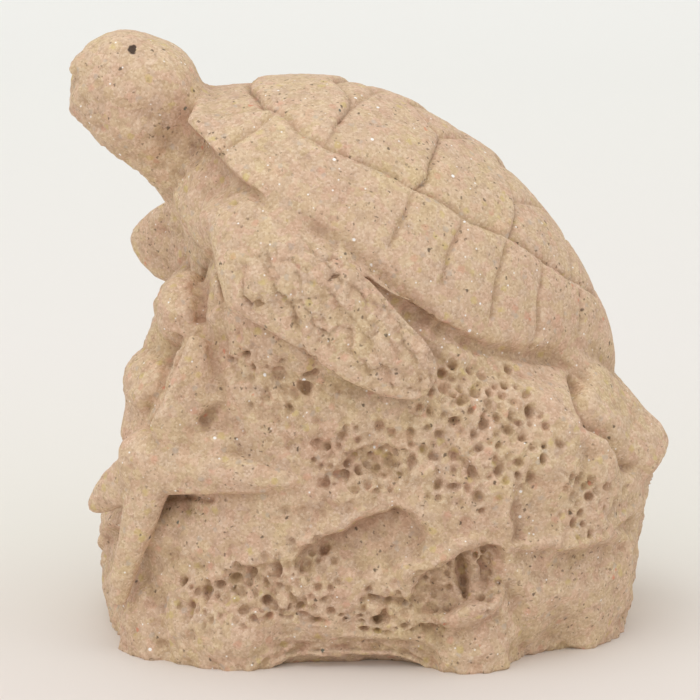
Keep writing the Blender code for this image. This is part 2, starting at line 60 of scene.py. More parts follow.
OUTCROPS = (
    ((-18.4, -5.5, 29.2), (3.7, 5.0, 3.9)), ((-19.6, -7.0, 25.0), (4.3, 6.0, 5.4)),
    ((-17.5, -8.9, 32.7), (2.9, 4.2, 4.2)), ((-14.3, -10.6, 34.6), (1.5, 4.6, 4.6)),
    ((-14.6, -14.6, 22.0), (4.4, 3.2, 2.2)), ((-19.9, -11.2, 1.5), (4.6, 4.6, 8.0)),
    ((-17.0, 6.0, 30.0), (4.4, 6.0, 5.0)), ((-4.5, -15.0, 33.0), (9.5, 4.6, 7.5)),
    ((-6.0, 12.0, 34.0), (9.0, 6.0, 6.0)), ((-14.0, 8.6, 37.4), (4.4, 5.0, 5.6)),
    ((-21.2, -14.6, 19.6), (3.0, 2.8, 3.4)))
CHEST = ((-8.2, 0.0, 39.0), (9.6, 13.0, 9.0))
ROCK_SQUARENESS = 2.5
FOOT_SQUARENESS = 2.1


def section(bm, centre, across, up, power=2.0, sides=48):
    """One closed ring: a superellipse that reaches `across` and `up` from its centre."""
    ring = bmesh.ops.create_circle(bm, cap_ends=False, segments=sides, radius=1.0)["verts"]
    for vert in ring:
        angle = math.atan2(vert.co.y, vert.co.x)
        c, s = math.cos(angle), math.sin(angle)
        a = math.copysign(abs(c) ** (2.0 / power), c)
        b = math.copysign(abs(s) ** (2.0 / power), s)
        vert.co = centre + across * a + up * b
    return ring


def skin(bm, rings):
    """Bridges a row of rings, closes both ends and turns every face outwards."""
    loops = []
    for ring in rings:
        inside = set(ring)
        loops.append(list({e for v in ring for e in v.link_edges if e.other_vert(v) in inside}))
    for first, second in zip(loops, loops[1:]):
        bmesh.ops.bridge_loops(bm, edges=first + second)
    bmesh.ops.holes_fill(bm, edges=loops[0] + loops[-1], sides=0)
    bmesh.ops.recalc_face_normals(bm, faces=bm.faces)


forms = bmesh.new()


def add_form(bm):
    """Adds one closed form to the casting's stack of forms."""
    mesh = bpy.data.meshes.new("form")
    bm.to_mesh(mesh)
    bm.free()
    forms.from_mesh(mesh)
    bpy.data.meshes.remove(mesh)


def add_block(levels, power):
    """A block of stone from its level sections: height, left, right, front, back."""
    block = bmesh.new()
    rings = []
    for height, left, right, front, back in levels:
        middle = Vector(((left + right) / 2, (front + back) / 2, height))
        across, deep = Vector(((right - left) / 2, 0, 0)), Vector((0, (back - front) / 2, 0))
        rings.append(section(block, middle, across, deep, power, 96))
    skin(block, rings)
    add_form(block)


def add_lump(centre, radii):
    """A rounded lump that reaches its radii from its centre."""
    lump = bmesh.new()
    bmesh.ops.create_icosphere(lump, subdivisions=4, radius=1.0)
    bmesh.ops.scale(lump, vec=radii, verts=lump.verts)
    bmesh.ops.translate(lump, vec=centre, verts=lump.verts)
    add_form(lump)


add_block(ROCK_SECTIONS, ROCK_SQUARENESS)
for foot in FEET:
    add_block(foot, FOOT_SQUARENESS)
for centre, radii in OUTCROPS + (CHEST,):
    add_lump(centre, radii)


# ------------------------------------------------------------
# The starfish. Five flattened arms that lie over the rock's left front corner. Each is a blade of oval
# sections between its two edges, with half its thickness; the upper arm is tilted so that its left edge
# stands up as a ridge.
STAR_FULLNESS = 2.2
STAR_UPPER_ARM = (
    ((-21.0, -16.4, 22.8), (-17.0, -16.0, 20.4), 1.3), ((-20.3, -17.3, 24.2), (-15.6, -15.4, 24.2), 1.1),
    ((-19.3, -17.3, 26.0), (-13.9, -15.0, 26.2), 1.0), ((-18.4, -16.9, 28.3), (-14.1, -14.6, 27.9), 1.0),
    ((-17.5, -16.3, 30.2), (-14.6, -14.4, 29.9), 0.9), ((-16.6, -15.4, 32.2), (-15.5, -14.4, 31.9), 0.7))
STAR_RIGHT_ARM = (
    ((-20.3, -16.0, 22.4), (-20.4, -16.0, 16.8), 1.6), ((-16.1, -17.3, 21.7), (-16.1, -17.5, 17.1), 1.4),
    ((-12.2, -18.3, 21.2), (-12.3, -18.5, 17.5), 1.3), ((-9.4, -19.0, 20.5), (-9.4, -19.1, 17.8), 1.1),
    ((-7.4, -19.3, 19.8), (-7.4, -19.4, 18.2), 0.9), ((-6.2, -19.5, 19.2), (-6.2, -19.5, 18.5), 0.7))
STAR_LOWER_ARM = (
    ((-23.2, -14.6, 19.0), (-18.9, -16.4, 18.0), 1.6), ((-23.7, -14.4, 14.2), (-20.2, -16.2, 14.6), 1.6),
    ((-24.3, -14.2, 11.0), (-21.6, -15.8, 11.2), 1.4), ((-24.9, -14.0, 7.9), (-22.8, -15.4, 8.0), 1.2),
    ((-25.1, -13.8, 5.2), (-23.8, -14.9, 5.2), 0.9))
STAR_LEFT_ARM = (
    ((-21.6, -14.8, 21.8), (-22.2, -14.8, 15.4), 1.6), ((-23.8, -12.8, 19.8), (-24.0, -12.8, 14.5), 1.5),
    ((-25.4, -11.3, 18.0), (-25.2, -11.3, 13.7), 1.3), ((-26.6, -10.3, 16.2), (-26.3, -10.3, 13.2), 1.0),
    ((-27.3, -9.8, 14.6), (-27.1, -9.8, 13.4), 0.8))
STAR_BACK_ARM = (
    ((-19.2, -14.2, 22.0), (-22.0, -13.2, 16.8), 1.5), ((-21.3, -9.6, 24.4), (-23.7, -9.0, 20.2), 1.5),
    ((-21.7, -6.6, 25.4), (-23.2, -6.0, 22.6), 1.2), ((-21.8, -4.8, 25.3), (-22.3, -4.6, 24.2), 0.8))
STAR_ARMS = (STAR_UPPER_ARM, STAR_RIGHT_ARM, STAR_LOWER_ARM, STAR_LEFT_ARM, STAR_BACK_ARM)


def blade_frames(stations):
    """For each station: its middle, half its width as a vector, and the direction of its thickness."""
    middles = [(Vector(lead) + Vector(trail)) / 2 for lead, trail, _ in stations]
    frames = []
    for i, (lead, trail, _) in enumerate(stations):
        along = (middles[min(i + 1, len(middles) - 1)] - middles[max(i - 1, 0)]).normalized()
        across = (Vector(trail) - Vector(lead)) / 2
        frames.append((middles[i], across, along.cross(across).normalized()))
    return frames


def add_blade(stations, power):
    """A flat blade: one oval ring at each station, bridged and closed."""
    blade = bmesh.new()
    rings = []
    for (middle, across, thick), (_, _, half_thick) in zip(blade_frames(stations), stations):
        rings.append(section(blade, middle, across, thick * half_thick, power, 40))
    skin(blade, rings)
    add_form(blade)


for arm in STAR_ARMS:
    add_blade(arm, STAR_FULLNESS)


# ------------------------------------------------------------
# The shell. A dome on a chord that slopes from the neck down to the tail: blunt in front, widest a little
# before the middle, pointed behind, with a rim that hangs lower along the sides.
SHELL_FRONT = Vector((-16.5, 0.0, 52.6))
SHELL_TAIL = Vector((24.6, 0.0, 24.5))
SHELL_HALF_WIDTH = 18.6
SHELL_WIDEST_AT = 20.0
SHELL_HEIGHT = 12.0
SHELL_RIM_DROOP = (
    (0.0, 0.9), (2.0, 1.2), (5.0, 1.6), (12.0, 2.0), (20.0, 2.3), (27.0, 2.6), (32.0, 2.2), (37.0, 1.8),
    (43.0, 0.6), (49.8, 0.0))
SHELL_BELLY = 6.5
SHELL_STATIONS = 41
SHELL_LENGTH = (SHELL_TAIL - SHELL_FRONT).length
SHELL_ALONG = (SHELL_TAIL - SHELL_FRONT).normalized()
SHELL_UP = Vector((-SHELL_ALONG.z, 0.0, SHELL_ALONG.x))


def follow(line, place):
    """A line's second measure where its first measure is `place`."""
    return np.interp(place, [p[0] for p in line], [p[1] for p in line])


def shell_half_width(x):
    """The shell's plan, x behind its front."""
    x = np.asarray(x, float)
    ahead = np.clip((SHELL_WIDEST_AT - x) / SHELL_WIDEST_AT, 0, 1)
    behind = np.clip((x - SHELL_WIDEST_AT) / (SHELL_LENGTH - SHELL_WIDEST_AT), 0, 1)
    return SHELL_HALF_WIDTH * np.where(x < SHELL_WIDEST_AT, (1 - 0.766 * ahead ** 1.85) ** 0.5, 1 - behind ** 2.4)


def shell_crest(x):
    """Height of the dome's ridge above the chord."""
    t = 2 * np.asarray(x, float) / SHELL_LENGTH - 1
    away = np.clip(np.abs(t), 0, 1)
    front_lip = 1.3 * np.exp(-np.clip(np.asarray(x, float), 0, None) / 3.0)
    return SHELL_HEIGHT * np.where(t < 0, 1 - away ** 2.9, (1 - away ** 1.7) ** 0.68) + front_lip


def shell_droop(x, v):
    """How far the rim hangs below the chord at the sides."""
    return v ** 2 * follow(SHELL_RIM_DROOP, x)


def dome_rise(v):
    """The dome's cross-section: 1 on the midline and 0 at the rim, where it stands steep."""
    return (1 - np.clip(v, 0, 1) ** 2.2) ** 0.75


shell = bmesh.new()
rings = []
for i in range(SHELL_STATIONS):
    x = SHELL_LENGTH * (0.5 - 0.5 * math.cos(math.pi * (i + 0.35) / (SHELL_STATIONS - 0.3)))
    width = float(shell_half_width(x))
    top = float(shell_crest(x))
    belly = SHELL_BELLY * (1 - (2 * x / SHELL_LENGTH - 1) ** 4)
    ring = bmesh.ops.create_circle(shell, cap_ends=False, segments=96, radius=1.0)["verts"]
    for vert in ring:
        v, side = vert.co.x, vert.co.y
        height = top * dome_rise(abs(v)) if side > 0 else -belly * (1 - v * v) ** 1.3
        height -= float(shell_droop(x, abs(v)))
        vert.co = SHELL_FRONT + SHELL_ALONG * x + SHELL_UP * height + Vector((0, width * v, 0))
    rings.append(ring)
skin(shell, rings)
add_form(shell)

# The collar: the rim's crisp front edge, which stands over the neck. Places are (behind the shell's front, off
# its midline, above its chord).
COLLAR_EDGE = (
    (-0.6, 0.0, 0.7), (-0.6, 3.5, 0.5), (-0.6, 6.6, -0.1), (-0.6, 9.4, -0.7), (1.6, 10.8, -0.9), (3.5, 12.2, -1.0),
    (5.4, 13.7, -1.2), (7.4, 15.0, -1.3), (9.6, 16.1, -1.4), (12.0, 17.0, -1.5))
COLLAR_DEPTH = 5.0
COLLAR_CLIMB = 1.6
COLLAR_HALF_THICK = 0.75
COLLAR_FULLNESS = 3.0
collar = []
for x, y, height in [(x, -y, h) for x, y, h in COLLAR_EDGE[:0:-1]] + list(COLLAR_EDGE):
    lead = SHELL_FRONT + SHELL_ALONG * x + SHELL_UP * height + Vector((0, y, 0))
    trail = lead + SHELL_ALONG * COLLAR_DEPTH + SHELL_UP * COLLAR_CLIMB - Vector((0, 0.35 * y, 0))
    collar.append((lead, trail, COLLAR_HALF_THICK))
add_blade(collar, COLLAR_FULLNESS)


# ------------------------------------------------------------
# The head and neck. One raised form that climbs from the throat and swells into a round head with a blunt
# beak, modelled as sections square to the neck's line: how far along, lowest, highest and half as wide.
THROAT = Vector((-20.0, 0.0, 43.1))
NECK_LINE = Vector((-0.743, 0.0, 0.669))
HEAD_SECTIONS = (
    (-9.0, -1.2, 9.0, 6.2), (-4.0, -0.6, 9.8, 5.4), (0.0, 0.1, 10.4, 4.8), (3.6, 0.2, 10.6, 4.7),
    (5.2, 0.1, 11.0, 5.3), (6.7, -0.1, 11.7, 5.9), (8.2, -0.2, 11.9, 6.2), (9.7, -0.1, 11.7, 6.1),
    (11.4, 0.1, 11.0, 5.6), (12.9, 0.6, 10.4, 4.8), (14.1, 1.6, 9.5, 3.8), (15.0, 2.6, 8.3, 2.8),
    (15.7, 3.8, 6.4, 1.6))
HEAD_FULLNESS = 3.0
head = bmesh.new()
head_up = Vector((NECK_LINE.z, 0.0, -NECK_LINE.x))
rings = []
for along, low, high, half in HEAD_SECTIONS:
    centre = THROAT + NECK_LINE * along + head_up * ((low + high) / 2)
    rings.append(section(head, centre, Vector((0, half, 0)), head_up * ((high - low) / 2), HEAD_FULLNESS))
skin(head, rings)
add_form(head)


# ------------------------------------------------------------
# The flippers, the tail and the flanks. Flat blades, each a row of oval sections between a leading and a
# trailing edge with half its thickness; the near one lies back over the rock, the far one reaches forward.
NEAR_FORE_FLIPPER = (
    ((-15.2, -9.5, 42.6), (-10.2, -10.5, 44.6), 3.4),
    ((-14.8, -14.8, 41.2), (-8.6, -15.2, 44.2), 2.6),
    ((-14.2, -17.4, 38.4), (-6.7, -17.3, 43.0), 2.1),
    ((-13.3, -19.0, 35.6), (-4.5, -18.5, 41.6), 1.8),
    ((-10.0, -20.0, 34.2), (-2.1, -19.0, 40.5), 1.6),
    ((-6.0, -20.6, 31.8), (0.4, -19.6, 38.5), 1.4),
    ((-2.2, -21.0, 29.3), (3.2, -20.2, 35.4), 1.3),
    ((1.2, -21.2, 27.8), (5.3, -20.6, 33.3), 1.2),
    ((4.0, -21.0, 27.3), (6.4, -20.8, 31.6), 1.1),
    ((5.5, -20.8, 27.7), (6.7, -20.7, 30.0), 0.9))
FAR_FORE_FLIPPER = (
    ((-15.5, 8.5, 31.8), (-15.6, 8.5, 43.2), 3.4), ((-18.3, 11.5, 31.4), (-19.6, 12.0, 40.7), 2.6),
    ((-21.0, 13.6, 31.8), (-22.0, 14.0, 39.0), 2.0), ((-22.8, 14.8, 33.2), (-23.5, 15.0, 37.4), 1.5),
    ((-23.9, 15.3, 34.8), (-24.1, 15.4, 36.2), 1.0))
NEAR_HIND_FLIPPER = (
    ((17.0, -9.0, 27.4), (20.0, -3.0, 27.6), 2.8), ((20.7, -9.6, 24.2), (24.0, -2.6, 24.2), 2.3),
    ((23.2, -9.3, 20.8), (26.8, -2.4, 21.9), 1.9), ((25.6, -8.8, 17.8), (28.8, -2.6, 20.4), 1.8),
    ((27.6, -7.6, 16.0), (29.6, -3.2, 18.9), 1.6))
FLIPPER_FULLNESS = 2.5
FAR_HIND_SPREAD = 1.3
FAR_HIND_DROP = 3.0
TAIL = (
    ((19.0, -2.6, 24.5), (19.0, 2.6, 24.5), 2.0), ((24.5, -1.9, 23.2), (24.5, 1.9, 23.2), 1.6),
    ((28.2, -0.8, 19.6), (28.2, 0.8, 19.6), 1.0))
SHOULDER = ((-10.2, -13.0, 43.2), (6.0, 3.4, 3.2))
NECK_ROOT = (
    (-17.2, -0.6, 48.0, 4.6), (-15.8, -4.0, 46.8, 5.5), (-13.6, -6.8, 45.2, 6.1), (-11.4, -8.6, 43.6, 6.5),
    (-8.6, -9.4, 41.4, 6.4))
FLANK = (
    (-8.0, -12.8, 43.8, 3.0), (-4.0, -13.6, 41.2, 3.2), (0.2, -14.5, 37.8, 3.2), (4.4, -14.2, 33.2, 2.9),
    (8.6, -13.2, 30.4, 3.0), (13.0, -11.2, 27.8, 3.0), (19.2, -6.8, 25.9, 2.8), (22.6, -3.0, 24.2, 2.5))


def far_side(point):
    """A hind flipper's point mirrored to the far side, where the blade spreads wider and lies lower."""
    return (point[0], -point[1] * FAR_HIND_SPREAD, point[2] - FAR_HIND_DROP)


FAR_HIND_FLIPPER = [(far_side(lead), far_side(trail), thick) for lead, trail, thick in NEAR_HIND_FLIPPER]
FLIPPERS = (NEAR_FORE_FLIPPER, FAR_FORE_FLIPPER, NEAR_HIND_FLIPPER, FAR_HIND_FLIPPER)
for stations in FLIPPERS + (TAIL,):
    add_blade(stations, FLIPPER_FULLNESS)
for side in (1, -1):
    (x, y, z), radii = SHOULDER
    add_lump((x, y * side, z), radii)
    for run in (FLANK, NECK_ROOT):
        roll = bmesh.new()
        rings = []
        for x, y, z, radius in run:
            up = Vector((0.57 * radius, 0, 0.82 * radius))
            rings.append(section(roll, Vector((x, y * side, z)), Vector((0, radius, 0)), up))
        skin(roll, rings)
        add_form(roll)


# ------------------------------------------------------------
# The casting. The mould gives one unbroken skin, so the forms are wrapped in a single fine surface and its
# joints are softened, as they are where wet sand has been pressed into a rubber mould.
GRAIN_STEP = 0.2
SOFTENING = 16


def put(name, data):
    """A new object in the scene that holds this data."""
    obj = bpy.data.objects.new(name, data)
    bpy.context.scene.collection.objects.link(obj)
    return obj


def settle(obj):
    """The mesh that an object's modifiers give, with the object removed."""
    graph = bpy.context.evaluated_depsgraph_get()
    mesh = bpy.data.meshes.new_from_object(obj.evaluated_get(graph))
    bpy.data.objects.remove(obj)
    return mesh


def read_rows(rows, name):
    values = np.empty(len(rows) * 3)
    rows.foreach_get(name, values)
    return values.reshape(-1, 3)


def read_skin(mesh):
    """A mesh's points, and the direction out of its skin at each."""
    return read_rows(mesh.vertices, "co"), read_rows(mesh.vertex_normals, "vector")


def write_points(mesh, points):
    mesh.vertices.foreach_set("co", points.ravel())
    mesh.update()


def carve(out):
    """Moves each of the casting's points, as last read, out of its skin by its own height."""
    write_points(casting, points + normals * out[:, None])


def soften(mesh, passes, factor=0.5):
    """Evens out the surface by moving each point towards its neighbours' middle."""
    edges = np.empty(len(mesh.edges) * 2, int)
    mesh.edges.foreach_get("vertices", edges)
    a, b = edges.reshape(-1, 2).T
    points = read_rows(mesh.vertices, "co")
    count = np.bincount(a, minlength=len(points)) + np.bincount(b, minlength=len(points))
    for _ in range(passes):
        total = np.zeros_like(points)
        for axis in range(3):
            total[:, axis] += np.bincount(a, points[b, axis], len(points))
            total[:, axis] += np.bincount(b, points[a, axis], len(points))
        points += factor * (total / count[:, None] - points)
    write_points(mesh, points)


stack = bpy.data.meshes.new("forms")
forms.to_mesh(stack)
forms.free()
wrapped = put("forms", stack)
wrap = wrapped.modifiers.new("wrap", "REMESH")
wrap.mode = "VOXEL"
wrap.voxel_size = GRAIN_STEP
casting = settle(wrapped)
soften(casting, SOFTENING)


# ------------------------------------------------------------
# The rock's relief. Shelves of coral overhang shallow bowls, low ridges and grooves run between them, and
# hollows are pushed in by the modeller's thumb. Places on the front face are given as (across, up).
BOWLS = (
    (((-7.6, 11.2), (-6.2, 12.8), (-4.2, 13.9), (-1.8, 14.9), (0.0, 16.1), (2.6, 16.8), (4.2, 16.4)),
     ((5.9, 14.4), (5.4, 11.8), (2.6, 10.0), (-1.0, 9.4), (-4.6, 9.2), (-7.2, 10.0)), 2.7),
    (((4.5, 9.0), (5.6, 10.4), (7.4, 11.5), (9.2, 12.5), (10.6, 12.7), (13.0, 12.2)),
     ((13.2, 8.2), (11.4, 6.8), (8.0, 5.6), (5.2, 5.2), (4.0, 7.0)), 2.0),
    (((4.6, 4.5), (8.0, 5.0), (11.0, 5.8), (12.6, 6.6)), ((13.4, 3.4), (10.0, 1.8), (6.4, 2.0)), 1.0),
    (((-18.4, 6.9), (-15.7, 8.6), (-13.0, 10.2), (-11.0, 10.9), (-8.8, 11.4)),
     ((-8.4, 8.2), (-11.0, 6.0), (-14.6, 4.8), (-18.0, 5.0)), 0.9),
    (((13.7, 12.6), (13.6, 18.4)), ((16.0, 19.8), (22.0, 17.6), (21.8, 13.2), (15.5, 12.8)), 1.3),
    (((14.0, 11.9), (17.0, 11.9), (20.4, 11.6), (25.4, 10.7)), ((25.6, 7.4), (20.0, 6.6), (15.0, 8.0)), 1.0),
    (((-3.6, 20.2), (-1.8, 22.4), (1.4, 23.0), (3.2, 22.4)), ((3.4, 19.4), (0.4, 18.8), (-2.6, 19.0)), 1.1))
STROKES = (
    (((-5.4, 17.8), (-2.0, 18.0), (2.6, 18.8), (6.0, 20.2)), 0.5, 1.0),
    (((3.6, 10.0), (5.4, 11.2), (7.4, 12.4), (9.8, 13.5)), 1.4, 0.8),
    (((4.6, 5.2), (8.0, 5.6), (11.0, 6.8), (12.6, 7.6)), 1.3, 0.6),
    (((-6.0, 13.4), (-4.2, 14.5), (-1.8, 15.5), (0.0, 16.7)), 0.35, 0.6),
    (((-18.2, 7.4), (-15.7, 8.9), (-13.0, 10.5), (-8.8, 11.8)), 0.3, 0.5),
    (((13.2, 19.6), (13.1, 16.4), (13.2, 13.4)), 0.4, 0.5),
    (((13.6, 12.5), (17.0, 12.5), (20.4, 12.2), (25.0, 11.4)), 0.4, 0.45), (((25.3, 10.2), (25.2, 3.4)), 0.5, 0.9),
    (((13.6, 9.4), (14.9, 5.0), (15.6, 0.6)), -0.6, 0.9),
    (((13.8, 27.4), (16.8, 26.8), (18.8, 24.4), (20.8, 22.6), (23.4, 19.6)), 0.5, 0.9),
    (((-19.6, 16.3), (-15.6, 16.5), (-11.0, 16.9), (-6.2, 17.2)), -0.7, 0.8),
    (((-18.4, 15.8), (-19.8, 12.6), (-21.4, 8.6), (-22.8, 5.4)), -0.6, 1.1),
    (((-14.4, 37.6), (-14.6, 35.0), (-16.0, 32.0)), 0.4, 0.6),
    (((-15.9, 36.6), (-15.9, 33.8), (-16.8, 31.2)), -0.5, 0.7), (((-23.2, 18.4), (-23.9, 14.4)), -0.4, 0.4))
CUTS = (
    (((-20.6, 23.8), (-19.3, 25.7), (-18.2, 28.6), (-17.2, 31.2), (-16.3, 32.6)), 0.65, 0.45),
    (((-21.5, 24.2), (-20.3, 26.2), (-19.3, 28.8), (-18.2, 31.2)), -0.6, 0.5),
    (((-15.6, 24.2), (-14.0, 26.2), (-14.3, 28.8), (-15.0, 31.0)), -0.45, 0.5),
    (((-18.4, 16.4), (-15.2, 16.4)), -0.7, 0.28), (((-18.8, 18.5), (-15.0, 18.3), (-9.0, 18.2)), -0.25, 0.35),
    (((20.3, 27.0), (20.7, 25.9), (21.4, 23.6), (23.6, 21.8), (24.7, 20.0), (26.1, 17.8)), -1.5, 0.6),
    (((-10.1, 46.5), (-7.3, 45.6), (-5.0, 43.4)), -0.45, 1.0),
    (((-5.0, 43.4), (-2.0, 41.8), (1.2, 38.8)), -0.9, 0.95), (((1.2, 38.8), (3.2, 36.8), (5.5, 34.5)), -1.0, 1.0),
    (((6.9, 33.1), (8.4, 32.3), (12.1, 30.6), (15.7, 29.6), (18.9, 28.6), (21.4, 27.1)), -0.8, 0.8),
    (((9.4, 31.8), (12.1, 30.6), (15.7, 29.6), (18.9, 28.6), (21.4, 27.1)), -1.1, 0.7))
HOLLOWS = (
    ((-13.7, -17.4, 24.2), (3.2, 4.0, 2.2), 0.6), ((9.4, -20.0, 9.4), (1.0, 4.0, 2.5), 1.7),
    ((11.7, -19.8, 9.6), (1.0, 4.0, 1.6), 1.2), ((11.4, -20.0, 12.2), (1.6, 4.0, 0.6), 0.8),
    ((1.9, -20.0, 7.2), (2.2, 3.0, 0.9), 0.6), ((1.1, -20.0, 4.7), (1.3, 3.0, 1.1), 1.7),
    ((-4.9, -20.0, 4.4), (1.9, 3.0, 0.9), 0.6), ((-18.3, -10.0, 29.2), (1.6, 3.0, 1.1), 0.9),
    ((-6.5, -18.5, 30.2), (3.6, 4.0, 1.5), 0.5), ((-4.6, -20.0, 20.3), (1.0, 3.0, 0.5), 0.6),
    ((1.4, -20.0, 20.6), (2.8, 3.0, 1.9), 0.8), ((4.6, -20.0, 25.6), (1.1, 3.0, 0.6), 0.6),
    ((6.0, -20.0, 26.7), (0.9, 3.0, 0.5), 0.5), ((7.3, -20.0, 27.9), (0.9, 3.0, 0.5), 0.5),
    ((18.8, -16.4, -1.0), (4.8, 9.0, 8.0), 2.4))
SMOOTH_PATCHES = (
    ((-13.6, 24.0), (4.4, 3.2)), ((-14.2, 13.2), (6.6, 3.4)), ((17.4, 15.0), (3.8, 3.2)), ((20.0, 6.0), (7.0, 5.6)),
    ((0.6, 13.4), (5.2, 2.6)))
SPONGES = (((-8.0, 27.4), (7.6, 7.0)), ((0.6, 20.8), (4.6, 2.6)), ((-8.6, 7.6), (5.0, 3.6)), ((3.6, 5.8), (4.6, 3.4)))
SHELF_TOP = 29.0
LIP = 0.3
STAR_THICKNESS = 1.5
FLIPPER_THICKNESS = 1.9
UNDER_SHELL = 2.2
CORAL_SIZE = 1.5
NOISE_SEED = 7


def rising(value, start, run):
    """0 up to `start`, then rising to 1 over `run`."""
    return np.clip((value - start) / run, 0, 1)


def ridge(away, width):
    """1 on a line, falling smoothly to 0 over about this width."""
    return np.exp(-(away / width) ** 2)


def away_from(points, centre, radii):
    """Squared distance from an oval body's centre: 1 on its skin."""
    return (((points - np.array(centre)) / np.array(radii)) ** 2).sum(1)


def distance_to_line(x, y, line):
    """Distance in the plane from each point to a line of points."""
    best = np.full(len(x), 1e9)
    for (x0, y0), (x1, y1) in zip(line, line[1:]):
        dx, dy = x1 - x0, y1 - y0
        t = np.clip(((x - x0) * dx + (y - y0) * dy) / (dx * dx + dy * dy), 0, 1)
        best = np.minimum(best, np.hypot(x - x0 - t * dx, y - y0 - t * dy))
    return best


def inside_outline(x, y, outline):
    """True for the points of the plane that a closed line goes round."""
    inside = np.zeros(len(x), bool)
    for (x0, y0), (x1, y1) in zip(outline, outline[1:] + outline[:1]):
        if y0 != y1:
            crossing = (y0 > y) != (y1 > y)
            inside ^= crossing & (x < x0 + (y - y0) * (x1 - x0) / (y1 - y0))
    return inside


def bowl(x, z, crest, floor, depth):
    """A bowl that drops steeply from its crest and comes forward again at its floor, with a lip round the crest."""
    from_crest = distance_to_line(x, z, crest)
    from_floor = distance_to_line(x, z, crest[-1:] + floor + crest[:1])
    inside = inside_outline(x, z, crest + floor)
    fall = (from_floor / (from_floor + from_crest + 1e-6)) ** 0.7
    steep = 1 - ridge(from_crest, 0.6)
    lip = LIP * ridge(from_crest, np.where(inside, 0.25, 0.8))
    return lip - np.where(inside, depth * steep * fall, 0)


def face_relief(x, z):
    """All bowls of one face, as a height out of it."""
    return sum(bowl(x, z, crest, floor, depth) for crest, floor, depth in BOWLS)


def patch(x, z, centre, reach):
    """1 in the middle of an oval patch, falling to 0 at its edge."""
    away = ((x - centre[0]) / reach[0]) ** 2 + ((z - centre[1]) / reach[1]) ** 2
    return np.clip(1.6 * (1 - away), 0, 1)


def waves(points, scale, octaves=2):
    """Rolling unevenness between about -1 and 1, repeating every 1 / scale."""
    total = np.zeros(len(points))
    for k in range(octaves):
        finer = scale * 2.3 ** k
        total += np.array([noise.noise(Vector(p) * finer) for p in points]) * 0.5 ** k
    return total


def blade_place(points, stations):
    """How far along a blade each point is, how far across from edge to edge (-1 to 1), and how far off it."""
    frames = blade_frames(stations)
    best = np.full(len(points), 1e9)
    along, across = np.zeros(len(points)), np.zeros(len(points))
    for i, (here, there) in enumerate(zip(frames, frames[1:])):
        start, run = np.array(here[0]), np.array(there[0] - here[0])
        t = np.clip((points - start) @ run / (run @ run), 0, 1)
        middle = start + t[:, None] * run
        wide = np.array(here[1]) + t[:, None] * (np.array(there[1]) - np.array(here[1]))
        s = ((points - middle) * wide).sum(1) / (wide * wide).sum(1)
        off = np.linalg.norm(points - middle - np.clip(s, -1, 1)[:, None] * wide, axis=1)
        closer = off < best
        best[closer] = off[closer]
        along[closer] = (i + t[closer]) / (len(frames) - 1)
        across[closer] = s[closer]
    return along, across, best


noise.seed_set(NOISE_SEED)
points, normals = read_skin(casting)
above_chord = (points - np.array(SHELL_FRONT)) @ np.array(SHELL_UP)
from_star = np.min([blade_place(points, arm)[2] for arm in STAR_ARMS], axis=0)
from_flippers = np.min([blade_place(points, blade)[2] for blade in FLIPPERS], axis=0)
off_turtle = rising(from_flippers, FLIPPER_THICKNESS, 0.6) * rising(-above_chord, UNDER_SHELL, 0.8)
on_rock = rising(from_star, STAR_THICKNESS, 0.7) * off_turtle
wander = np.zeros_like(points)
for index in np.flatnonzero(on_rock > 0):
    wander[index] = noise.noise_vector(Vector(points[index]) * 0.5) * 0.5
x, y, z = (points + wander).T
facing_front = np.clip(-normals[:, 1] * 1.6, 0, 1) * (y < -8)
facing_back = np.clip(normals[:, 1] * 1.6, 0, 1) * (y > 8)
facing_right = np.clip(normals[:, 0] * 1.6 - 0.4, 0, 1) * (x > 14)
facing_left = np.clip(-normals[:, 0] * 1.6 - 0.4, 0, 1) * (x < -14)
low = rising(-z, -SHELF_TOP, 3.0) * on_rock
in_front = np.clip(-normals[:, 1] * 2.5 + 0.5, 0, 1) * (y < -5)
smooth = np.max([patch(x, z, centre, reach) for centre, reach in SMOOTH_PATCHES], axis=0) * in_front
sponge = np.max([patch(x, z, centre, reach) for centre, reach in SPONGES], axis=0) * in_front
out = np.zeros(len(points))
for centre, radii, depth in HOLLOWS:
    out -= depth * np.clip(1 - away_from(points, centre, radii), 0, None) ** 1.5 * np.maximum(on_rock, 0.6)
for path, height, half in STROKES:
    out += height * ridge(distance_to_line(x, z, path), half) * in_front * on_rock

# The cuts run close behind the near flipper and stay off its blade.
cut, rise = np.zeros(len(points)), np.zeros(len(points))
_, across_flipper, off_flipper = blade_place(points, NEAR_FORE_FLIPPER)
beside_flipper = np.maximum(rising(np.abs(across_flipper), 0.98, 0.25), rising(off_flipper, 2.2, 0.5))
beside_flipper = np.maximum(beside_flipper, rising(points[:, 1], -18.7, 1.2))
for path, height, half in CUTS:
    here = height * ridge(distance_to_line(points[:, 0], points[:, 2], path), half) * in_front * beside_flipper
    cut, rise = np.minimum(cut, here), np.maximum(rise, here)
out += cut + rise

# The other faces repeat the front's bowls, shifted and shallower.
out += facing_front * low * face_relief(x, z)
out += facing_back * low * face_relief(2.0 - x, z + 1.5) * 0.8
out += facing_right * low * face_relief(y * 0.8 - 2.0, z - 2.0) * 0.7
out += facing_left * low * face_relief(2.0 - y * 0.8, z + 0.5) * 0.6

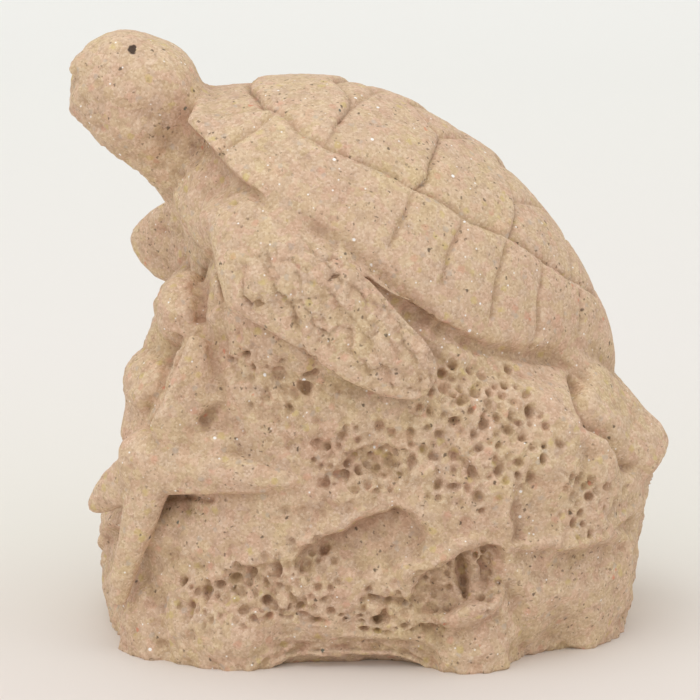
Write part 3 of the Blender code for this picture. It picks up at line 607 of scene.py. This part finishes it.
# Crumbly coral: small cells pressed in by different depths, over slow swells of the whole rock.
rough = np.clip(0.35 + sponge * 0.8 - smooth, 0, 1) * on_rock
for index in np.flatnonzero(on_rock > 0.02):
    spot = Vector(points[index])
    if rough[index] > 0.02:
        slanted = spot + noise.noise_vector(spot * 0.8) * 0.6 + Vector((0.35 * spot.z, 0.0, -0.2 * spot.x))
        gaps, centres = noise.voronoi(slanted / CORAL_SIZE)
        opening = min(1.0, (gaps[1] - gaps[0]) * CORAL_SIZE / 0.8) ** 1.5
        out[index] += rough[index] * (0.1 - opening * (0.2 + max(0.0, noise.cell(centres[0] * 9.0) + 0.1)))
    out[index] += on_rock[index] * (0.55 - 0.3 * smooth[index]) * noise.noise(spot * 0.17)
    out[index] += on_rock[index] * (0.3 - 0.2 * smooth[index]) * noise.noise(spot * 0.45)
    out[index] += rough[index] * (0.45 * noise.noise(spot * 0.9) + 0.35 * noise.noise(spot * 1.9))
carve(out)
soften(casting, 2)


# ------------------------------------------------------------
# The scutes. The shell's plates are cut with narrow seams. The costal plates lap like tiles, each rear edge
# standing proud of the next, and the rim plates stand proud of the costals. Every seam is a line of places
# (behind the shell's front, off its midline) with its depth.
NUCHAL_SEAM = ((3.1, 0.0), (3.3, 2.5), (4.7, 6.7), (6.1, 8.2))
SHOULDER_SEAM = ((6.1, 8.2), (5.1, 10.6), (4.0, 11.8), (3.4, 13.6))
COSTAL_EDGE = (
    (6.1, 8.2), (6.6, 8.7), (8.8, 11.1), (11.8, 12.4), (14.9, 12.8), (20.8, 12.8), (23.3, 12.3), (27.4, 11.9),
    (31.8, 9.9), (36.0, 8.0), (39.3, 5.9), (42.0, 3.2), (44.5, 0.0))
FIRST_COSTAL = ((9.5, 0.0), (10.6, 3.0), (11.5, 5.0), (11.8, 6.4), (11.4, 9.0))
SECOND_COSTAL = ((16.5, 0.0), (18.1, 1.8), (19.9, 4.4), (20.9, 4.8), (21.1, 9.6), (21.6, 11.2), (21.0, 12.7))
THIRD_COSTAL = ((27.2, 0.0), (29.1, 4.0), (30.3, 5.6), (31.2, 7.2), (31.7, 9.9))
TOP_SEAMS = (
    ((11.8, 6.4), (12.2, 5.4), (13.0, 2.7), (13.8, 0.0)), ((20.9, 4.8), (22.3, 3.0), (24.0, 0.0)),
    ((30.6, 5.6), (33.2, 1.6), (34.6, 0.0)), ((37.4, 0.0), (38.6, 2.5), (40.1, 4.8)))
RIM_SEAMS = (
    (((10.4, 12.6), (10.2, 16.0)), 0.12), (((15.4, 13.2), (15.6, 16.4)), 0.12),
    (((21.1, 13.0), (21.5, 15.5), (21.7, 16.8)), 0.4), (((26.7, 12.2), (27.1, 14.9), (27.9, 16.2)), 0.4),
    (((31.6, 10.2), (32.7, 13.2), (34.0, 14.3)), 0.42), (((36.2, 8.1), (37.6, 10.3), (39.2, 10.9)), 0.4),
    (((40.6, 4.6), (43.2, 6.2)), 0.36))
SEAMS = ((NUCHAL_SEAM, 0.35), (SHOULDER_SEAM, 0.4), (COSTAL_EDGE, 0.4), (FIRST_COSTAL, 0.34), (SECOND_COSTAL, 0.38),
         (THIRD_COSTAL, 0.42)) + tuple((seam, 0.34) for seam in TOP_SEAMS) + RIM_SEAMS
LAPS = ((NUCHAL_SEAM, -0.34), (FIRST_COSTAL, 0.3), (SECOND_COSTAL, 0.2), (THIRD_COSTAL, 0.34))
SEAM_WIDTH = 0.34
SEAM_SHOULDER = 0.35
LAP_REACH = 2.4
RIM_STEP = 0.22
RIM_REACH = 1.6


def seam_place(seam, y):
    """How far behind the shell's front a seam that runs across it lies, y off the midline."""
    return follow(sorted((off, behind) for behind, off in seam), y)


points, normals = read_skin(casting)
local = points - np.array(SHELL_FRONT)
x = local @ np.array(SHELL_ALONG)
height = local @ np.array(SHELL_UP)
y = np.abs(points[:, 1])
width = np.maximum(shell_half_width(x), 0.1)
v = np.clip(y / width, 0, 1)
roof = shell_crest(x) * dome_rise(v) - shell_droop(x, v)
on_dome = (x > -1) & (x < SHELL_LENGTH + 1) & (y < width + 1.2) & (height > roof - 1.6) & (height > -3.4)
on_dome &= (from_flippers > 1.6) | (height > roof - 0.5)
cut, shade = np.zeros(len(points)), np.zeros(len(points))
for seam, depth in SEAMS:
    away = distance_to_line(x, y, seam)
    cut = np.maximum(cut, depth * ridge(away, SEAM_WIDTH))
    shade = np.maximum(shade, SEAM_SHOULDER * depth * np.exp(-away))
inside_costals = y < follow(COSTAL_EDGE, x)
inside_costals &= x > SHOULDER_SEAM[0][0] * (y > SHOULDER_SEAM[0][1])
lap = np.zeros(len(points))
for seam, proud in LAPS:
    near = np.exp(-distance_to_line(x, y, seam) / LAP_REACH) * inside_costals
    lap += np.where(x < seam_place(seam, y), near, -near) * proud
lap += np.exp(-distance_to_line(x, y, COSTAL_EDGE) / RIM_REACH) * np.where(inside_costals, -RIM_STEP, RIM_STEP)
out = np.where(on_dome, lap - cut - shade, 0.0)
carve(out)


# ------------------------------------------------------------
# The face. A small round pit for each eye and a short closed mouth that runs back from the notch below the
# beak, pressed alike into both sides of the head.
EYE = (-22.7, 3.1, 58.4)
EYE_DEPTH = 0.45
MOUTH = ((-29.4, 0.0, 55.3), (-28.4, 2.6, 55.0), (-26.8, 4.3, 54.8))
MOUTH_DEPTH = 0.42
MOUTH_ENDS_AT = -26.4


def distance_to_path(points, path):
    """Distance in space from each point to a line of points."""
    best = np.full(len(points), 1e9)
    for start, end in zip(path, path[1:]):
        start, run = np.array(start), np.array(end) - np.array(start)
        t = np.clip((points - start) @ run / (run @ run), 0, 1)
        best = np.minimum(best, np.linalg.norm(points - start - t[:, None] * run, axis=1))
    return best


points, normals = read_skin(casting)
one_side = np.column_stack((points[:, 0], np.abs(points[:, 1]), points[:, 2]))
from_eye = np.linalg.norm((one_side - np.array(EYE)) * (1.0, 0.4, 1.0), axis=1)
out = -EYE_DEPTH * ridge(from_eye, 0.55)
fading = rising(-points[:, 0], -MOUTH_ENDS_AT, 2.4)
out -= MOUTH_DEPTH * fading * ridge(distance_to_path(one_side, MOUTH), 0.45)
carve(out)


# ------------------------------------------------------------
# The flipper's scales. Irregular plates cover the near flipper behind a smooth band along its leading edge,
# and break up into small dimples towards the tip. The other flippers carry the same scales, more faintly.
SCALE_SIZE = 2.4
SMALLER_AT_TIP = 0.3
SEAM_BETWEEN_SCALES = 0.36
SCALED = (
    (NEAR_FORE_FLIPPER, 1.0, -1), (FAR_FORE_FLIPPER, 0.6, 1), (NEAR_HIND_FLIPPER, 0.25, -1),
    (FAR_HIND_FLIPPER, 0.4, 1))
SCALE_SEAMS = (
    ((-7.1, 37.9), (-6.9, 35.4), (-6.6, 33.2), (-5.9, 31.5), (-4.8, 29.8), (-3.6, 28.9)),
    ((-4.2, 38.2), (-4.3, 35.6), (-4.2, 34.4), (-4.9, 32.8), (-5.1, 31.2)), ((-10.3, 37.0), (-10.5, 35.4)),
    ((-7.0, 35.2), (-5.6, 34.9), (-4.3, 35.3)))
points, normals = read_skin(casting)
local = points - np.array(SHELL_FRONT)
x = local @ np.array(SHELL_ALONG)
clear_of_shell = np.abs(points[:, 1]) > shell_half_width(x) + 0.4
clear_of_shell |= local @ np.array(SHELL_UP) < -shell_droop(x, 1.0) - 1.2
out = np.zeros(len(points))
for blade, strength, side in SCALED:
    outward = (normals[:, 1] * side > 0.1) & (points[:, 1] * side > 0)
    outer = np.flatnonzero((from_flippers < 2.8) & outward & clear_of_shell)
    along, across, off = blade_place(points[outer], blade)
    cover = strength * rising(along, 0.18, 0.12) * rising(across, -0.72, 0.15) * (off < 2.7)
    for index, amount, t in zip(outer, cover, along):
        if amount > 0:
            size = SCALE_SIZE * (1 - SMALLER_AT_TIP * t)
            spot = Vector(points[index])
            gaps, centres = noise.voronoi((spot + noise.noise_vector(spot * 0.7) * 0.3) / size)
            seam = math.exp(-((gaps[1] - gaps[0]) * size / 0.75) ** 2)
            dimple = max(0.0, noise.noise(spot * 1.3) - 0.1) * (0.3 + 0.7 * t)
            tilt = (centres[0] * size - spot).dot(Vector((0.1, 0.0, 0.12)))
            crumb = 0.14 * noise.noise(spot * 1.1 + Vector((7.0, 0.0, 0.0)))
            plate = 0.16 * noise.cell(centres[0] * 7.0) + tilt - SEAM_BETWEEN_SCALES * seam
            out[index] = amount * (plate - 0.5 * dimple + crumb)
for seam in SCALE_SEAMS:
    away = distance_to_line(points[:, 0], points[:, 2], seam)
    out -= 0.3 * ridge(away, 0.36) * (from_flippers < 2.4) * (points[:, 1] < -16)
carve(out)


# ------------------------------------------------------------
# The pores. Coral holes pressed deep into the rock: crowded above and between the shelves, rare on the
# smooth corner under the starfish and on the right flank. Single ones are given as (across, up, half as wide,
# half as tall); each field of scattered ones is (centre, radii, how crowded, how wide a pore is).
SINGLE_PORES = (
    (-5.8, 18.9, 0.6, 0.65), (-2.3, 19.7, 0.45, 0.45), (6.2, 21.5, 0.55, 0.4), (8.2, 21.5, 0.65, 0.55),
    (6.8, 23.4, 0.55, 0.5), (8.2, 24.7, 0.55, 0.45), (10.6, 17.3, 0.6, 0.6), (11.1, 24.3, 0.5, 0.6),
    (9.2, 26.7, 0.75, 0.45), (11.6, 26.2, 0.42, 0.65), (12.9, 26.8, 0.4, 0.4), (15.2, 26.7, 0.42, 0.42),
    (13.8, 24.9, 0.42, 0.6), (13.5, 23.6, 0.45, 0.5), (15.5, 25.0, 0.42, 0.6), (12.6, 22.4, 0.42, 0.4),
    (10.6, 22.2, 0.42, 0.4), (9.9, 25.6, 0.42, 0.42), (8.3, 18.4, 0.6, 0.45), (10.0, 19.7, 0.45, 0.6),
    (12.6, 20.0, 0.42, 0.7), (4.1, 21.1, 0.5, 0.75), (13.9, 28.9, 0.42, 0.55), (18.6, 21.9, 0.5, 0.42),
    (20.4, 17.9, 0.65, 0.6), (21.8, 17.9, 0.42, 0.5), (23.2, 17.2, 0.42, 0.45), (-4.2, 12.0, 0.55, 0.55),
    (-8.7, 10.2, 0.45, 0.9), (0.7, 7.4, 0.65, 0.45), (3.1, 7.2, 0.7, 0.5), (-11.2, 9.6, 0.55, 0.5),
    (-12.6, 9.0, 0.5, 0.5), (-14.3, 8.2, 0.55, 0.42), (-12.2, 7.8, 0.65, 0.5), (-6.2, 5.3, 0.8, 0.5))
PORE_FIELDS = (
    ((10.8, -20.0, 24.2), (8.6, 6.0, 8.4), 1.0, 0.42), ((0.2, -20.0, 21.0), (5.0, 5.0, 3.6), 1.0, 0.34),
    ((-4.9, -20.0, 20.4), (3.0, 5.0, 3.0), 0.9, 0.34), ((-9.5, -20.0, 8.6), (5.0, 5.0, 3.6), 1.0, 0.4),
    ((-15.6, -19.0, 6.8), (4.0, 5.0, 2.6), 1.0, 0.38), ((-5.0, -20.0, 9.6), (3.0, 5.0, 6.0), 1.0, 0.38),
    ((6.4, -20.0, 8.0), (2.4, 5.0, 4.4), 0.8, 0.34), ((2.0, -20.0, 5.4), (5.0, 5.0, 3.2), 0.8, 0.36),
    ((10.6, -20.0, 9.4), (3.0, 5.0, 3.6), 0.6, 0.34), ((20.8, -18.0, 15.6), (3.4, 6.0, 4.0), 0.6, 0.36),
    ((-8.6, -19.0, 26.6), (7.0, 5.0, 6.4), 0.8, 0.3), ((-3.0, -20.0, 17.2), (5.0, 5.0, 2.0), 0.5, 0.3),
    ((6.0, 20.0, 14.0), (14.0, 6.0, 9.0), 0.8, 0.42), ((-12.0, 19.0, 20.0), (9.0, 6.0, 7.0), 0.8, 0.4),
    ((26.6, 6.0, 12.0), (5.0, 11.0, 7.0), 0.6, 0.4), ((-26.0, 6.0, 16.0), (5.0, 10.0, 9.0), 0.6, 0.38))
PORE_GAP = 1.08
TRIES = 30000
SHALLOW_BELOW = 0.31
PORE_RIM = 1.25

rng = np.random.default_rng(7)
points, normals = read_skin(casting)
outward = points * (1.0, 1.0, 0.0)
outward /= np.linalg.norm(outward, axis=1)[:, None] + 1e-9
crowd, usual = np.zeros(len(points)), np.full(len(points), 0.35)
for centre, radii, amount, size in PORE_FIELDS:
    here = amount * np.clip(1.6 * (1 - away_from(points, centre, radii)), 0, 1)
    usual[here > crowd] = size
    crowd = np.maximum(crowd, here)
crowd *= (on_rock > 0.9) & ((normals * outward).sum(1) > 0.2) & (points[:, 2] > 1.8)
crowd *= 1 - 0.85 * smooth
tree = kdtree.KDTree(len(points))
for i, point in enumerate(points):
    tree.insert(point, i)
tree.balance()
front = np.flatnonzero((normals[:, 1] < -0.15) & (points[:, 1] < -5) & (on_rock > 0.5))
pores, taken = [], []
for across_at, up_at, wide, tall in SINGLE_PORES:
    away = np.hypot(points[front, 0] - across_at, points[front, 2] - up_at) + 0.02 * points[front, 1]
    index = front[np.argmin(away)]
    pores.append((index, wide, tall, (wide + tall) * rng.uniform(0.65, 0.9)))
    taken.append(points[index])
candidates = np.flatnonzero(crowd > 0.02)
for index in rng.permutation(candidates)[:TRIES]:
    if rng.random() > crowd[index]:
        continue
    here, size = points[index], usual[index] * rng.uniform(0.75, 1.3)
    if min(np.linalg.norm(np.array(taken) - here, axis=1)) > PORE_GAP * size / 0.4:
        taken.append(here)
        deep = rng.uniform(1.2, 2.1) if rng.random() < 0.65 else rng.uniform(0.4, 0.9)
        deep *= 0.4 if usual[index] < SHALLOW_BELOW else 1.0
        pores.append((index, size * rng.uniform(0.8, 1.15), size * rng.uniform(0.9, 1.4), size * deep))
moved = points.copy()
for index, wide, tall, depth in pores:
    centre, inward = Vector(points[index]), -Vector(normals[index])
    lean = Matrix.Rotation(rng.uniform(-0.5, 0.5), 3, inward) @ Vector((0.0, 0.0, 1.0))
    up = (lean - inward * lean.dot(inward)).normalized()
    level = up.cross(inward)
    for place, near, _ in tree.find_range(centre, max(wide, tall) * 1.6):
        offset = place - centre
        inside = math.hypot(offset.dot(level) / wide, offset.dot(up) / tall) * (1 + 0.35 * noise.noise(place * 1.6))
        if inside < PORE_RIM:
            moved[near] += np.array(inward) * depth * (1 - (inside / PORE_RIM) ** 2)
write_points(casting, moved)


# ------------------------------------------------------------
# The cast surface. The sand never fills the mould quite evenly, so the whole skin is a little uneven, the
# rock more than the turtle. The base rises in a low arch between its feet and is struck off flat below.
ARCH_FROM = -11.4
ARCH_TO = 7.4
ARCH_HEIGHT = 2.6
CHIPPED_BELOW = 1.6
TRIANGLES = 197000
# How widely the surroundings are softened to measure the painted shade of the hollows.
HOLLOW_SHADE_REACH = 24
MILLIMETRE = 0.001

points, normals = read_skin(casting)
unevenness = 0.05 + 0.06 * on_rock * (1 - 0.5 * smooth)
out = unevenness * (waves(points, 0.45, 2) + 0.9 * waves(points, 1.5, 1))
from_keystone = (points[:, 0] - (ARCH_FROM + ARCH_TO) / 2) / ((ARCH_TO - ARCH_FROM) / 2)
span = np.clip(1 - np.abs(from_keystone) ** 4.0, 0, 1)
broken = rising(-points[:, 2], -CHIPPED_BELOW, 1.2)
for index in np.flatnonzero((broken > 0) & (points[:, 2] > -1.5)):
    out[index] += broken[index] * (0.45 * noise.noise(Vector(points[index]) * 0.8) - 0.5 * span[index])
points += normals * out[:, None]
forward = rising(-points[:, 1], 13.5, 4.0)
points[:, 2] += ARCH_HEIGHT * span * forward * np.clip((6.0 - points[:, 2]) / 6.0, 0, 1.4)
write_points(casting, points)

whole = put("casting", casting)
even = whole.modifiers.new("even", "TRIANGULATE")
even.min_vertices = 4
less = whole.modifiers.new("less", "DECIMATE")
less.ratio = TRIANGLES / (2 * len(casting.polygons))
casting = settle(whole)
base = bmesh.new()
base.from_mesh(casting)
everything = base.verts[:] + base.edges[:] + base.faces[:]
bmesh.ops.bisect_plane(base, geom=everything, dist=0.0001, plane_co=(0, 0, 0), plane_no=(0, 0, -1), clear_outer=True)
bmesh.ops.holes_fill(base, edges=[e for e in base.edges if e.is_boundary], sides=0)
bmesh.ops.triangulate(base, faces=base.faces[:])
for face in base.faces:
    face.smooth = True
base.to_mesh(casting)
base.free()
# How far each point is sunk below its softened surroundings, kept for the sand's painted shade in the hollows.
evened = casting.copy()
soften(evened, HOLLOW_SHADE_REACH)
around, outward = read_skin(evened)
sunk = ((around - read_rows(casting.vertices, "co")) * outward).sum(1)
bpy.data.meshes.remove(evened)
casting.attributes.new("sunk", "FLOAT", "POINT").data.foreach_set("value", sunk)
casting.transform(Matrix.Scale(MILLIMETRE, 4))
casting.name = "sand_casting"
turtle = put("sand_casting", casting)
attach(turtle, "root")
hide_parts("sand_turtle")


# ------------------------------------------------------------
# The sand. Medium quartz sand bound with clear resin: tan and pinkish grains, a few yellow, red and black
# ones, and painted white highlights where clean facets glint. Hollows get painted shade, crests a little painted
# light.
# Everything is placed on the object's own coordinates in metres.
WHITE = (1.0, 1.0, 1.0)
SAND_GRAIN = 0.00021
MOTTLE = 0.00042
TINT = 0.0009
DARK_GRAIN_FIELD = 0.0007
GLINT_FIELD = 0.0027
SPARKLE_FIELD = 0.0012
sand = bpy.data.materials.new("cast_sand")
sand.use_nodes = True
nodes, links = sand.node_tree.nodes, sand.node_tree.links
shader = nodes["Principled BSDF"]
shader.inputs["Metallic"].default_value = 0.0
place = nodes.new("ShaderNodeTexCoord").outputs["Object"]


def cloud(size, detail=2.0, roughness=0.5, output="Fac"):
    """A soft pattern that repeats at about this size."""
    soft = nodes.new("ShaderNodeTexNoise")
    soft.inputs["Scale"].default_value = 1.0 / size
    soft.inputs["Detail"].default_value = detail
    soft.inputs["Roughness"].default_value = roughness
    links.new(place, soft.inputs["Vector"])
    return soft.outputs[output]


def grains(size, where=place):
    """Cells as large as the grains."""
    cells = nodes.new("ShaderNodeTexVoronoi")
    cells.inputs["Scale"].default_value = 1.0 / size
    links.new(where, cells.inputs["Vector"])
    return cells


def give(socket, value):
    """Sets a socket to a number or a vector, or links another socket to it."""
    if isinstance(value, bpy.types.NodeSocket):
        links.new(value, socket)
    else:
        socket.default_value = value


def maths(operation, *values, kind="ShaderNodeMath", output="Value"):
    """What a maths node makes of its values."""
    node = nodes.new(kind)
    node.operation = operation
    for socket, value in zip(node.inputs, values):
        give(socket, value)
    return node.outputs[output]


def place_times(start, by, shift):
    """A place multiplied by one vector and shifted by another."""
    return maths("MULTIPLY_ADD", start, by, shift, kind="ShaderNodeVectorMath", output="Vector")


def ragged(amount, size):
    """The object's coordinates, pushed about a little so that no grain is quite round."""
    return place_times(cloud(size, 1.0, output="Color"), (amount, amount, amount), place)


def ramp(value, *stops):
    """A colour for each value between the stops, given as (position, colour)."""
    node = nodes.new("ShaderNodeValToRGB")
    band = node.color_ramp
    while len(band.elements) < len(stops):
        band.elements.new(0.5)
    for element, (position, colour) in zip(band.elements, stops):
        element.position = position
        element.color = (*colour, 1.0)
    links.new(value, node.inputs["Fac"])
    return node.outputs["Color"]


def blend(amount, below, above, way="MIX"):
    """Lays one colour over another by a mask."""
    mix = nodes.new("ShaderNodeMix")
    mix.data_type = "RGBA"
    mix.blend_type = way
    give(mix.inputs[0], amount)
    for socket, value in ((mix.inputs[6], below), (mix.inputs[7], above)):
        give(socket, (*value, 1.0) if isinstance(value, tuple) else value)
    return mix.outputs[2]


def between(value, low, high, at_low=0.0, at_high=1.0):
    """Maps a value's run from low to high onto another run."""
    span = nodes.new("ShaderNodeMapRange")
    for name, number in (("From Min", low), ("From Max", high), ("To Min", at_low), ("To Max", at_high)):
        span.inputs[name].default_value = number
    links.new(value, span.inputs["Value"])
    return span.outputs["Result"]


def channel(colour, name):
    split = nodes.new("ShaderNodeSeparateColor")
    links.new(colour, split.inputs["Color"])
    return split.outputs[name]


def some(cells, share):
    """1 in this share of the cells, 0 in the rest."""
    return between(channel(cells.outputs["Color"], "Green"), share, share + 0.02, 1.0, 0.0)


def dots(cells, full, none, strength=1.0):
    """A dot at the middle of each cell: full strength as far out as `full`, gone at `none`."""
    return between(cells.outputs["Distance"], full, none, strength, 0.0)


fine = grains(SAND_GRAIN)
colour = ramp(channel(fine.outputs["Color"], "Red"), (0.0, (0.60, 0.435, 0.315)), (0.3, (0.675, 0.50, 0.365)),
              (0.7, (0.725, 0.55, 0.41)), (1.0, (0.79, 0.63, 0.495)))
ragged_place = ragged(0.0005, 0.0004)
mottle = ramp(channel(grains(MOTTLE, ragged_place).outputs["Color"], "Green"),
              (0.0, (0.90, 0.89, 0.89)), (0.4, (0.97, 0.97, 0.96)), (1.0, WHITE))
tinted = ramp(channel(grains(TINT, ragged_place).outputs["Color"], "Blue"),
              (0.0, (1.0, 0.94, 0.93)), (0.35, WHITE), (0.65, (0.98, 1.0, 0.90)), (1.0, (0.95, 0.95, 0.97)))
patches = ramp(cloud(0.0011, 4.0, 0.65), (0.36, (0.90, 0.88, 0.86)), (0.56, WHITE))
drift = ramp(cloud(0.007, 3.0, 0.6), (0.3, (0.96, 0.90, 0.88)), (0.5, (1.0, 0.98, 0.95)), (0.7, (1.0, 1.0, 0.90)))
for veil in (mottle, tinted, patches, drift):
    colour = blend(1.0, colour, veil, "MULTIPLY")

# Coloured grains: in each field of cells a ball round the cell's middle shows where it meets the surface. Each
# row is (size of a cell, the ball's radius, share of cells that have one, pigment, how strong it is).
COLOURED_GRAINS = ((0.0019, 0.00044, 0.50, (0.62, 0.50, 0.16), 0.45),
                   (0.0025, 0.00044, 0.50, (0.68, 0.34, 0.24), 0.42),
                   (0.0016, 0.00034, 0.50, (0.50, 0.44, 0.38), 0.45),
                   (0.0031, 0.00026, 0.50, (0.68, 0.22, 0.13), 0.65),
                   (DARK_GRAIN_FIELD, 0.00015, 0.55, (0.20, 0.14, 0.09), 0.80),
                   (0.0018, 0.00020, 0.55, (0.085, 0.06, 0.035), 0.80),
                   (0.0052, 0.00024, 0.60, (0.05, 0.10, 0.085), 0.80))
crowding = between(cloud(0.009, 2.0), 0.36, 0.56)
for cell, radius, share, pigment, amount in COLOURED_GRAINS:
    spots = grains(cell, ragged_place)
    ball = dots(spots, radius * 0.6 / cell, radius * 1.1 / cell)
    mask = maths("MULTIPLY", maths("MULTIPLY", ball, some(spots, share)), amount)
    if cell == DARK_GRAIN_FIELD:
        mask = maths("MULTIPLY", mask, crowding)
    colour = blend(mask, colour, pigment)
# Painted highlights: white spots stand in for the glints of clean facets, large ones and small sparkles; the same
# spots are also made less rough.
large, small = grains(GLINT_FIELD), grains(SPARKLE_FIELD)
painted_glint = maths("MULTIPLY", dots(large, 0.052, 0.076), some(large, 0.6))
painted_sparkle = maths("MULTIPLY", dots(small, 0.060, 0.105, 0.85), some(small, 0.7))
colour = blend(painted_sparkle, blend(painted_glint, colour, (0.97, 0.96, 0.94)), (0.95, 0.92, 0.88))

# Painted shade: hollows are painted darker and crests a little paler, by how far each point is sunk below its
# surroundings.
sunk_by = nodes.new("ShaderNodeAttribute")
sunk_by.attribute_name = "sunk"
painted_hollow_shade = ramp(between(sunk_by.outputs["Fac"], -0.3, 0.6), (0.0, WHITE), (0.3, (0.95, 0.945, 0.94)),
            (0.65, (0.78, 0.74, 0.71)), (1.0, (0.60, 0.53, 0.475)))
colour = blend(1.0, colour, painted_hollow_shade, "MULTIPLY")

# The eye: a dab of dark brown paint in its pit, as seen from the side.
EYE_PAINT = (0.042, 0.022, 0.014)
for side in (-1, 1):
    eye_at_zero = (-EYE[0] * MILLIMETRE, -side * EYE[1] * 0.3 * MILLIMETRE, -EYE[2] * MILLIMETRE)
    from_eye = place_times(ragged(0.00035, 0.0005), (1.0, 0.3, 1.0), eye_at_zero)
    gap = maths("LENGTH", from_eye, kind="ShaderNodeVectorMath")
    colour = blend(between(gap, 0.00040, 0.00052, 0.96, 0.0), colour, EYE_PAINT)
links.new(colour, shader.inputs["Base Color"])
links.new(between(painted_glint, 0.0, 1.0, 0.82, 0.25), shader.inputs["Roughness"])

bump = nodes.new("ShaderNodeBump")
bump.inputs["Strength"].default_value = 0.5
bump.inputs["Distance"].default_value = 0.00006
lumpy = maths("MULTIPLY_ADD", cloud(0.0009, 4.0, 0.65), 4.0, maths("MULTIPLY", fine.outputs["Distance"], -0.8))
links.new(lumpy, bump.inputs["Height"])
links.new(bump.outputs["Normal"], shader.inputs["Normal"])
casting.materials.clear()
casting.materials.append(sand)


# ------------------------------------------------------------
# The studio: a pale sweep of paper under and behind the piece, one broad soft light above it, a weaker one
# from the left front, and a long lens a little above the piece.
PAPER_SIDE = 0.9
PAPER_FRONT = -0.7
PAPER_BENDS_AT = 0.35
PAPER_BEND = 0.25
PAPER_TOP = 1.2
BEND_STEPS = 12
sweep = bmesh.new()
outline = [(PAPER_FRONT, 0.0), (PAPER_BENDS_AT, 0.0)]
for k in range(1, BEND_STEPS + 1):
    angle = math.pi / 2 * k / BEND_STEPS
    outline.append((PAPER_BENDS_AT + PAPER_BEND * math.sin(angle), PAPER_BEND - PAPER_BEND * math.cos(angle)))
outline.append((PAPER_BENDS_AT + PAPER_BEND, PAPER_TOP))
profile = [sweep.verts.new((-PAPER_SIDE, back, up)) for back, up in outline]
for a, b in zip(profile, profile[1:]):
    sweep.edges.new((a, b))
strip = bmesh.ops.extrude_edge_only(sweep, edges=sweep.edges[:])["geom"]
bmesh.ops.translate(sweep, vec=(2 * PAPER_SIDE, 0, 0), verts=[g for g in strip if isinstance(g, bmesh.types.BMVert)])
for face in sweep.faces:
    face.smooth = True
paper_mesh = bpy.data.meshes.new("paper")
sweep.to_mesh(paper_mesh)
sweep.free()
paper = put("paper", paper_mesh)
paper_finish = bpy.data.materials.new("paper")
paper_finish.use_nodes = True
paper_shader = paper_finish.node_tree.nodes["Principled BSDF"]
paper_shader.inputs["Roughness"].default_value = 0.9
nodes, links = paper_finish.node_tree.nodes, paper_finish.node_tree.links
# The paper's colour is painted light: darker at the front and paler towards the back, where the sweep is lit
# brighter.
depth_of_paper = nodes.new("ShaderNodeSeparateXYZ")
links.new(nodes.new("ShaderNodeTexCoord").outputs["Object"], depth_of_paper.inputs["Vector"])
painted_paper_light = ramp(between(depth_of_paper.outputs["Y"], -0.03, 0.45), (0.0, (0.77, 0.72, 0.69)),
                  (0.125, (0.785, 0.77, 0.725)), (0.31, (0.82, 0.80, 0.78)), (0.69, (0.87, 0.87, 0.85)),
                  (1.0, (0.90, 0.91, 0.90)))
links.new(painted_paper_light, paper_shader.inputs["Base Color"])
paper_mesh.materials.append(paper_finish)

AIM = Vector((-0.0017, 0.0, 0.0274))
LAMP_SIZE = 0.5
LAMP_COLOUR = (1.0, 0.985, 0.96)
ROOM_STRENGTH = 0.88
CAMERA_TILT = math.radians(13.0)
CAMERA_DISTANCE = 0.4
CAMERA_LENS = 205.7


def soft_light(name, spot, energy):
    lamp = bpy.data.lights.new(name, "AREA")
    lamp.energy = energy
    lamp.size = LAMP_SIZE
    lamp.color = LAMP_COLOUR
    light = put(name, lamp)
    light.location = spot
    light.rotation_euler = (AIM - Vector(spot)).to_track_quat("-Z", "Y").to_euler()


soft_light("top_light", (-0.05, -0.12, 0.55), 0.85)
soft_light("front_light", (-0.25, -0.50, 0.25), 0.3)
world = bpy.data.worlds.new("room")
world.use_nodes = True
background = world.node_tree.nodes["Background"]
background.inputs["Color"].default_value = (*LAMP_COLOUR, 1.0)
background.inputs["Strength"].default_value = ROOM_STRENGTH
bpy.context.scene.world = world
bpy.context.scene.view_settings.view_transform = "Standard"

camera = put("camera", bpy.data.cameras.new("camera"))
toward_camera = Vector((0.0, -math.cos(CAMERA_TILT), math.sin(CAMERA_TILT)))
camera.location = AIM + toward_camera * CAMERA_DISTANCE
camera.rotation_euler = (-toward_camera).to_track_quat("-Z", "Y").to_euler()
camera.data.sensor_width = 36.0
camera.data.lens = CAMERA_LENS
camera.data.clip_start = 0.01
bpy.context.scene.camera = camera
